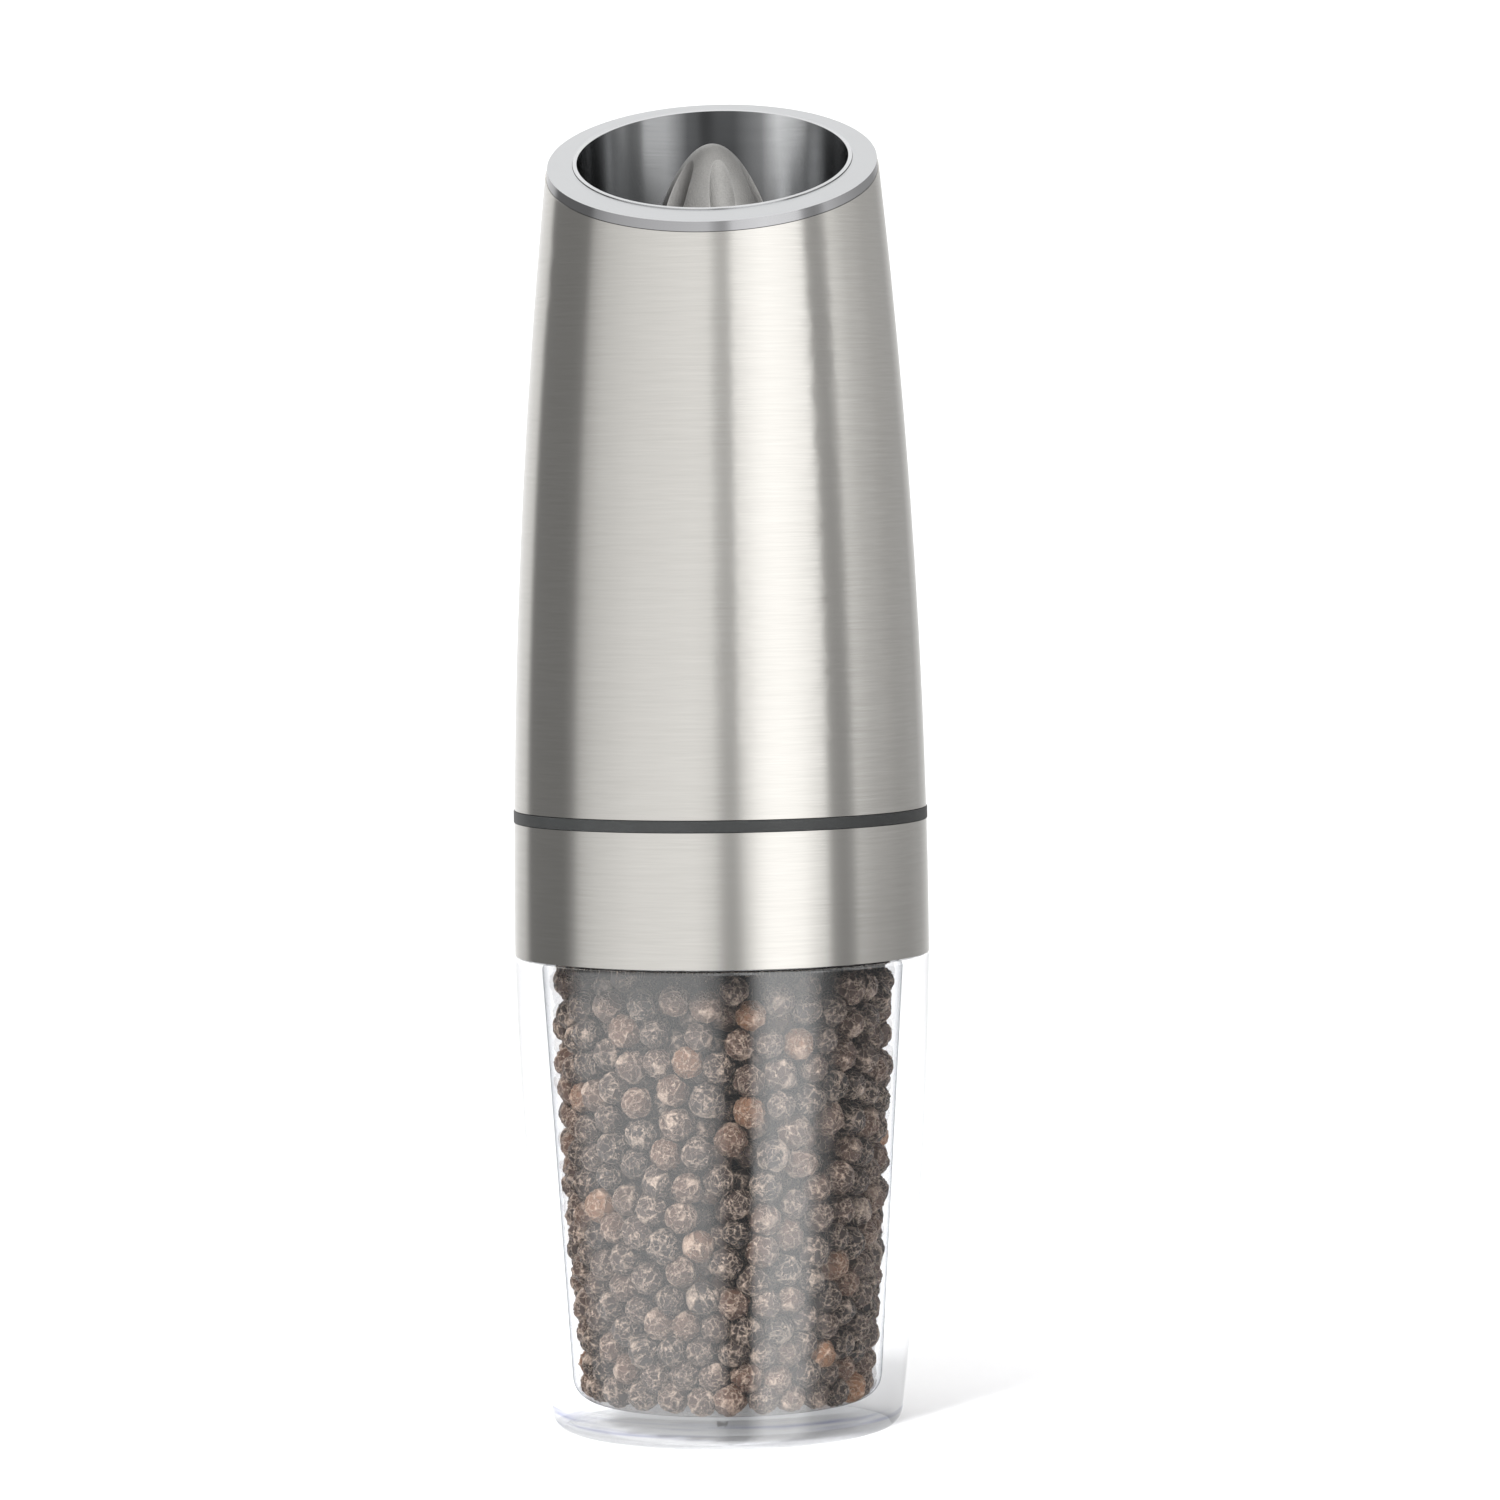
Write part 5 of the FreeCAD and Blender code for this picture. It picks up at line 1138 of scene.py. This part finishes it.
@dataclass
class Studio:
    """A round pale sweep, soft light from all sides, and the camera."""

    distance: float = 0.95
    eye_height: float = 0.155
    turn: float = 3.5
    aim_height: float = 0.103
    aim_right: float = 0.0046
    roll: float = 0.7
    lens: float = 150.3
    sweep_radius: float = 2.0
    sweep_height: float = 3.0
    bands: tuple[tuple[float, float], ...] = (
        (-180, 1.0), (-165, 0.9), (-140, 0.72), (-133, 0.19), (-91, 0.2), (-86, 0.45), (-74, 0.62),
        (-50, 0.75), (-4, 0.92), (1, 0.62), (6, 0.5), (9, 0.6), (13, 1.1), (34, 1.3), (60, 1.22),
        (64, 0.4), (74, 0.34), (79, 0.5), (82, 0.84), (96, 0.62), (118, 0.46), (146, 0.40), (164, 0.6),
        (180, 1.0),
    )
    low_bands: tuple[tuple[float, float], ...] = (
        (-180, 1.0), (-172, 0.95), (-158, 0.5), (-133, 0.15), (-98, 0.12), (-84, 0.75), (-50, 0.95),
        (-14, 0.9), (-3, 0.5), (2, 0.16), (13, 0.14), (20, 0.95), (26, 1.35), (46, 1.25), (58, 0.4),
        (70, 0.12), (130, 0.15), (158, 0.5), (172, 0.95), (180, 1.0),
    )

    def sweep(self) -> None:
        """Builds the floor and the wall it runs up into, all round."""
        corner = 0.7
        outline = [(0.0, 0.0), (0.3, 0.0), (1.0, 0.0), (self.sweep_radius - corner, 0.0)]
        outline += [(self.sweep_radius - corner + corner * math.sin(math.radians(angle)),
                     corner - corner * math.cos(math.radians(angle))) for angle in range(10, 91, 10)]
        outline.append((self.sweep_radius, self.sweep_height))
        around = 64
        turns = [2 * math.pi * step / around for step in range(around)]
        points = [(radius * math.cos(turn), radius * math.sin(turn), height)
                  for radius, height in outline[1:] for turn in turns]
        points.append((0.0, 0.0, 0.0))
        middle = len(points) - 1
        faces = [[middle, step, (step + 1) % around] for step in range(around)]
        for ring in range(len(outline) - 2):
            for step in range(around):
                following = (step + 1) % around
                faces.append([ring * around + step, (ring + 1) * around + step,
                              (ring + 1) * around + following, ring * around + following])
        mesh = bpy.data.meshes.new("studio_sweep")
        mesh.from_pydata(points, [], faces)
        mesh.shade_smooth()
        paper = Finish("studio paper", None, (0.86, 0.86, 0.865), (0.88, 0.88, 0.88), roughness=0.9,
                       grain=0.002, depth=0.00001, drift=0.4)
        mesh.materials.append(paper.material())
        made = bpy.data.objects.new("studio_sweep", mesh)
        bpy.context.scene.collection.objects.link(made)
        made.visible_glossy = False
        made.visible_shadow = False
        log.info("studio sweep built")

    def light(self) -> None:
        """Lights the mill: pale panels all round with darker gaps between them, and a soft lamp overhead."""
        world = bpy.data.worlds.new("studio")
        bpy.context.scene.world = world
        world.use_nodes = True
        world.node_tree.nodes.clear()
        bench = Bench(world.node_tree)
        way = bench.add("SeparateXYZ", {0: bench.add("TexCoord").outputs["Generated"]})
        turned = math.radians(self.turn)
        ahead = bench.math("SUBTRACT", bench.math("MULTIPLY", way.outputs["X"], math.sin(turned)),
                           bench.math("MULTIPLY", way.outputs["Y"], math.cos(turned)))
        right = bench.math("ADD", bench.math("MULTIPLY", way.outputs["X"], math.cos(turned)),
                           bench.math("MULTIPLY", way.outputs["Y"], math.sin(turned)))
        angle = bench.math("ARCTAN2", right, ahead)
        share = bench.span(angle, -math.pi, math.pi)
        level = bench.span(way.outputs["Z"], -0.1, -0.086)
        around = bench.blend(level, bench.steps(share, self.low_bands), bench.steps(share, self.bands))
        ground = bench.add("Background", {"Color": around, "Strength": 1.0})
        leave = bench.add("OutputWorld")
        bench.feed(leave.inputs["Surface"], ground.outputs[0])
        self.lamp("overhead_panel", Vector((0.05, 0.1, 1.3)), 1.2, 8.0)
        self.lamp("key_panel", Vector((-0.55, -0.85, 1.0)), 0.4, 38.0)
        log.info("studio light set")

    @staticmethod
    def lamp(name: str, place: Vector, width: float, power: float) -> None:
        """Hangs a square soft lamp that faces the middle of the mill.

        Args:
            name: the lamp's name.
            place: middle of the lamp.
            width: length of its side.
            power: its power in watts.
        """
        data = bpy.data.lights.new(name, "AREA")
        data.size, data.energy = width, power
        made = bpy.data.objects.new(name, data)
        made.location = place
        made.rotation_euler = (place - Vector((0.0, 0.0, 0.08))).to_track_quat("Z", "Y").to_euler()
        made.visible_camera = False
        made.visible_glossy = False
        bpy.context.scene.collection.objects.link(made)

    def camera(self) -> None:
        """Sets the camera at eye height a little to the right of the mouth's low side."""
        turned, rolled = math.radians(self.turn), math.radians(self.roll)
        right = Vector((math.cos(turned), math.sin(turned), 0.0))
        eye = Vector((math.sin(turned) * self.distance, -math.cos(turned) * self.distance, self.eye_height))
        aim = right * self.aim_right + Vector((0.0, 0.0, self.aim_height))
        back = (eye - aim).normalized()
        side = Vector((0.0, 0.0, 1.0)).cross(back).normalized()
        up = back.cross(side)
        up, side = (up * math.cos(rolled) + side * math.sin(rolled),
                    side * math.cos(rolled) - up * math.sin(rolled))
        data = bpy.data.cameras.new("studio_camera")
        data.lens, data.sensor_width, data.clip_start = self.lens, 36.0, 0.05
        made = bpy.data.objects.new("studio_camera", data)
        bpy.context.scene.collection.objects.link(made)
        made.matrix_world = Matrix.Translation(eye) @ Matrix((side, up, back)).transposed().to_4x4()
        bpy.context.scene.camera = made
        log.info("camera set")

    def build(self) -> None:
        """Builds the studio."""
        self.sweep()
        self.light()
        self.camera()
        bpy.context.scene.view_settings.view_transform = "Standard"


def main() -> None:
    """Builds every sub-assembly and the studio."""
    logging.basicConfig(level=logging.INFO, format="%(name)s: %(message)s")
    for part in (Jar(), Chassis(), Drive(), GrindingHead(), Housing()):
        part.build()
        log.info("%s finished", part.title)
    Studio().build()


if __name__ == "__main__":
    main()
